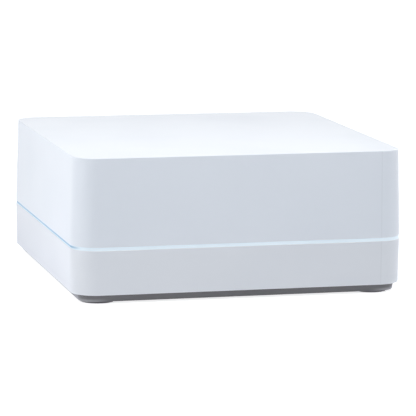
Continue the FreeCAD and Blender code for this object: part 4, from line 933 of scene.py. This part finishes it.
def makeScrews():
    # Head: a turned outline. Thread: radius = core + depth * ridge, where the ridge is a peak that
    # climbs one pitch for each turn. Both are one grid, from the drive face to the point.
    low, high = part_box("case_screws")
    sheets = []
    steps = screw["steps"]
    angles = np.linspace(0, 2 * math.pi, steps, endpoint=False)
    headTop = low.z + screw["headHeight"]
    head = softOutline((
        (0, 0, 0),
        (screw["head"] / 2, 0, screw["headRound"]),
        (screw["head"] / 2, screw["headHeight"], screw["underRound"]),
        (screw["core"] / 2, screw["headHeight"], 0),
    ), steps=5, closed=False)
    heights = np.arange(0, high.z - headTop, screw["pitch"] / screw["pitchRows"])[1:]
    turns = heights[:, None] / screw["pitch"] - angles[None, :] / (2 * math.pi)
    ridge = np.clip(1 - np.abs(turns % 1 - 0.5) * screw["ridgeSlope"], 0, 1)
    fade = np.clip((high.z - headTop - heights) / screw["taper"], 0, 1)[:, None]
    radii = (screw["core"] / 2 + screw["threadDepth"] * ridge) * np.sqrt(fade)
    for x, y in screwPlaces:
        turned = turnedSurface(head, (x, y, low.z), (0, 0, 1), steps)
        spokes = turned[1] - turned[0]
        spokes = spokes / np.linalg.norm(spokes, axis=1)[:, None]
        shank = np.array([x, y, headTop]) + radii[:, :, None] * spokes[None, :, :]
        shank[:, :, 2] += heights[:, None]
        tip = np.tile(np.array([[x, y, high.z]]), (steps, 1))
        sheets.append((np.concatenate([turned, shank, tip[None, :, :]]), True))
    piece = newObject("caseScrews", sheets)
    cuts = []
    long, thin = screw["recess"] / 2, screw["recessWidth"] / 2
    half = np.array([(long, thin), (thin, thin), (thin, long), (-thin, long), (-thin, thin), (-long, thin)])
    plus = np.concatenate([half, -half])
    for x, y in screwPlaces:
        cuts.append((slab(plus + (x, y), low.z - spare, low.z + screw["recessDepth"]), True))
    combine(piece, cuts, "DIFFERENCE")
    return finishPiece(piece, materials["zincScrew"], "housing", ["case_screws"],
                       angle=25)


# Rear pieces

button = {
    "edge": 0.4 * mm,                     # round of the cap's rim
    "capFoot": 0.1 * mm,
    "flangeRound": 0.15 * mm,
    "dish": 0.3 * mm,
    "dishRadius": 2.1 * mm,
    "flangeThickness": 0.8 * mm,
}


def makeLinkButton():
    # Turned outline about Y: a dished face with a round rim, then the retaining flange
    low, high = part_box("link_button")
    cap = ports["buttonCap"] / 2
    flange = (high.x - low.x) / 2
    depth = high.y - low.y
    share = np.linspace(0, 1, 9)
    bowl = np.stack([button["dishRadius"] * share, -button["dish"] * (1 - share ** 2)], axis=-1)
    rest = softOutline((
        (button["dishRadius"], 0, 0),
        (cap, 0, button["edge"]),
        (cap, -depth + button["flangeThickness"], button["capFoot"]),
        (flange, -depth + button["flangeThickness"], button["flangeRound"]),
        (flange, -depth, button["flangeRound"]),
        (0, -depth, 0),
    ), steps=5, closed=False)
    outline = np.concatenate([bowl, rest[1:]])
    centre = ((low.x + high.x) / 2, high.y, (low.z + high.z) / 2)
    piece = newObject("linkButton", [(turnedSurface(outline, centre, (0, 1, 0), steps=56), True)])
    return finishPiece(piece, materials["buttonGrey"], "link_button", ["link_button"])


pinNose = 0.7                             # round of the nose, as a share of the pin's radius


def makePowerPin():
    # Turned outline about Y: a plain pin with a rounded nose
    low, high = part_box("power_jack_pin")
    radius = (high.x - low.x) / 2
    length = high.y - low.y
    outline = softOutline((
        (0, 0, 0), (radius, 0, pinNose * radius), (radius, -length, 0), (0, -length, 0),
    ), steps=6, closed=False)
    centre = ((low.x + high.x) / 2, high.y, (low.z + high.z) / 2)
    piece = newObject("powerPin", [(turnedSurface(outline, centre, (0, 1, 0), steps=32), True)])
    return finishPiece(piece, materials["nickelPin"], "housing", ["power_jack_pin"])


capacitor = {
    "footHeight": 0.9 * mm,               # square plastic foot
    "standOff": 0.1 * mm,                 # can above the board, inside the foot
    "radius": 4.0 * mm,
    "crimp": 0.35 * mm,
    "crimpHeight": 1.98 * mm,
    "crimpRound": 0.15 * mm,
    "edgeRound": 0.2 * mm,
    "topRound": 0.5 * mm,
}


def makeCapacitors():
    # Turned outline: straight can with a crimp near its foot and a rounded top edge, on a square foot
    for name, node in (("inputCapacitor", "input_capacitor"), ("outputCapacitor", "output_capacitor")):
        low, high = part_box(node)
        middle = ((low.x + high.x) / 2, (low.y + high.y) / 2)
        radius, crimp = capacitor["radius"], capacitor["crimp"]
        tall = high.z - low.z
        groove, edge = capacitor["crimpHeight"], capacitor["edgeRound"]
        outline = softOutline((
            (0, capacitor["standOff"], 0),
            (radius, capacitor["standOff"], edge),
            (radius, groove - crimp, edge),
            (radius - crimp, groove, capacitor["crimpRound"]),
            (radius, groove + crimp, edge),
            (radius, tall, capacitor["topRound"]),
            (0, tall, 0),
        ), steps=4, closed=False)
        can = turnedSurface(outline, (*middle, low.z), (0, 0, 1), steps=48)
        piece = newObject(name, [(can, True)])
        seat = boxOutline(low.x, high.x, low.y, high.y)
        addBlock(piece, seat, low.z, low.z + capacitor["footHeight"])
        finishPiece(piece, materials["aluminiumCan"], "housing", [node])


makeCoverShell()
makeBandShell()
makeBaseShell()
print("shells made")
makeFeet()
makeScrews()
makeLinkButton()
makePowerPin()
makeCapacitors()
print("small pieces made")


# Floor, light and camera

stage = {
    "size": 16.0,
    "colour": (0.8, 0.8, 0.8),
    "mottleScale": 6.0,
    "mottle": 0.985,                      # darkest tone of the mottle, as a share of the colour
    "rough": 0.9,
    "whiteFill": 0.8,                     # what the floor adds for camera rays
    "nearFill": 0.79,                     # and for mirror and clear rays, beside the object
    "farFill": 0.95,                      # and away from it
    "fillStart": 0.08,                    # distances from the middle of the object
    "fillEnd": 0.45,
    "coolTint": (0.985, 1.0, 1.17),       # of that light close to the object
    "coolEnd": 0.25,                      # distance at which the tint is gone
    "ambient": (0.86, 0.93, 1.06),
    "ambientStrength": 0.325,
    "lampTarget": (0.0, 0.0, 0.03),
}
white = (1.0, 1.0, 1.0)


def rayKinds(tree):
    # Sources that are 1 for camera rays, and for mirror or clear rays
    path = addNode(tree, "ShaderNodeLightPath")
    mirror = mathNode(tree, "MAXIMUM", (path, "Is Glossy Ray"), (path, "Is Transmission Ray"))
    return (path, "Is Camera Ray"), mirror


def makeFloor():
    # Level sheet of points, finer near the object
    steps = np.linspace(-1, 1, 9)
    spread = np.sign(steps) * steps ** 2 * stage["size"] / 2
    x, y = np.meshgrid(spread, spread, indexing="ij")
    piece = newObject("floor", [(np.stack([x, y, np.zeros_like(x)], axis=-1), False)])
    if piece.data.polygons[0].normal.z < 0:
        piece.data.flip_normals()
    material, tree, shader, coordinates = startMaterial("paleFloor")
    place = (coordinates, "Object")
    darker = tuple(part * stage["mottle"] for part in stage["colour"])
    mottle = noiseNode(tree, place, stage["mottleScale"], detail=2)
    away = (feed(tree, addNode(tree, "ShaderNodeVectorMath", operation="LENGTH"), {0: place}), "Value")
    near = rampNode(tree, away, stage["fillStart"], stage["fillEnd"], stage["nearFill"], stage["farFill"],
                    smooth=False)
    close = rampNode(tree, away, stage["coolEnd"], stage["fillStart"], smooth=False)
    seen, mirror = rayKinds(tree)
    mirrored = mathNode(tree, "MULTIPLY", mirror, near)
    cool = mathNode(tree, "MULTIPLY", mirror, close)
    feed(tree, shader, {
        "Base Color": mixColours(tree, mottle, stage["colour"], darker),
        "Roughness": stage["rough"],
        "Specular IOR Level": 0.0,
        "Emission Color": mixColours(tree, cool, white, stage["coolTint"]),
        "Emission Strength": mathNode(tree, "MULTIPLY_ADD", seen, stage["whiteFill"], mirrored),
    })
    piece.data.materials.append(material)


def makeWorld():
    # Even studio light, and plain white where camera, mirror or clear rays see it
    world = bpy.data.worlds.new("studio")
    scene.world = world
    world.use_nodes = True
    tree = world.node_tree
    ambient = tree.nodes["Background"]
    feed(tree, ambient, {"Color": (*stage["ambient"], 1.0), "Strength": stage["ambientStrength"]})
    backdrop = addNode(tree, "ShaderNodeBackground")
    feed(tree, backdrop, {"Color": (*white, 1.0), "Strength": 1.0})
    either = addNode(tree, "ShaderNodeMixShader")
    seen = mathNode(tree, "MAXIMUM", *rayKinds(tree))
    feed(tree, either, {0: seen, 1: (ambient, 0), 2: (backdrop, 0)})
    feed(tree, tree.nodes["World Output"], {"Surface": (either, 0)})


# Each lamp: where it stands, its side, its power in watts and its colour; all face the housing
lamps = {
    "leftNear": {"at": (-0.3, -0.067, 0.16), "side": 0.2, "power": 0.408, "colour": white},
    "rearLeft": {"at": (-0.8, 1.0, 0.3), "side": 0.6, "power": 1.2, "colour": white},
    "topNear": {"at": (0.02, -0.14, 0.25), "side": 0.16, "power": 0.24, "colour": white},
    "frontFill": {"at": (0.3, -1.6, 0.6), "side": 1.2, "power": 3.45, "colour": (0.96, 0.98, 1.0)},
    "rightLow": {"at": (1.0, -0.35, 0.25), "side": 0.4, "power": 1.15, "colour": white},
    "rightFill": {"at": (1.6, 0.0, 0.4), "side": 0.8, "power": 2.0, "colour": white},
    "rearFill": {"at": (0.4, 1.6, 0.8), "side": 1.2, "power": 3.5, "colour": white},
    "rearRight": {"at": (1.3, 0.8, 0.25), "side": 0.6, "power": 3.5, "colour": white},
}


def aimed(place, target):
    # Directions of right, up and back for a thing that points -Z at the target
    back = np.array(place, float) - np.array(target, float)
    back = back / np.linalg.norm(back)
    right = np.cross((0.0, 0.0, 1.0), back)
    right = right / np.linalg.norm(right)
    up = np.cross(back, right)
    return right, up, back


def placeByAxes(thing, place, right, up, back):
    rows = [[right[i], up[i], back[i], place[i]] for i in range(3)]
    thing.matrix_world = Matrix([*rows, [0, 0, 0, 1]])


def makeLamps():
    for name, look in lamps.items():
        lamp = bpy.data.lights.new(name, "AREA")
        lamp.shape = "SQUARE"
        lamp.size = look["side"]
        lamp.energy = look["power"]
        lamp.color = look["colour"]
        thing = bpy.data.objects.new(name, lamp)
        scene.collection.objects.link(thing)
        placeByAxes(thing, look["at"], *aimed(look["at"], stage["lampTarget"]))


camera = {
    "lens": 232.288,
    "sensor": 36.0,
    "yaw": math.radians(14.512),
    "pitch": math.radians(9.004),         # downwards
    "roll": math.radians(0.484),
    "distance": 1.05427,
    "aimHeight": 20.85 * mm,
    "aside": 2.824 * mm,                  # along the right and the upward edge of the picture
    "raised": 3.795 * mm,
    "clipStart": 0.05,
}


def makeCamera():
    yaw, pitch, roll = camera["yaw"], camera["pitch"], camera["roll"]
    level = np.array([math.sin(yaw), math.cos(yaw), 0.0])
    forward = math.cos(pitch) * level - math.sin(pitch) * np.array([0.0, 0.0, 1.0])
    right = np.array([math.cos(yaw), -math.sin(yaw), 0.0])
    up = np.cross(right, forward)
    tilted = math.cos(roll) * right + math.sin(roll) * up
    up = math.cos(roll) * up - math.sin(roll) * right
    place = np.array([0, 0, camera["aimHeight"]]) - forward * camera["distance"]
    place = place + tilted * camera["aside"] + up * camera["raised"]
    lens = bpy.data.cameras.new("camera")
    lens.lens = camera["lens"]
    lens.sensor_width = camera["sensor"]
    lens.clip_start = camera["clipStart"]
    thing = bpy.data.objects.new("camera", lens)
    scene.collection.objects.link(thing)
    placeByAxes(thing, place, tilted, up, -forward)
    scene.camera = thing


makeFloor()
makeWorld()
makeLamps()
makeCamera()
scene.view_settings.view_transform = "Standard"
print("stage made")
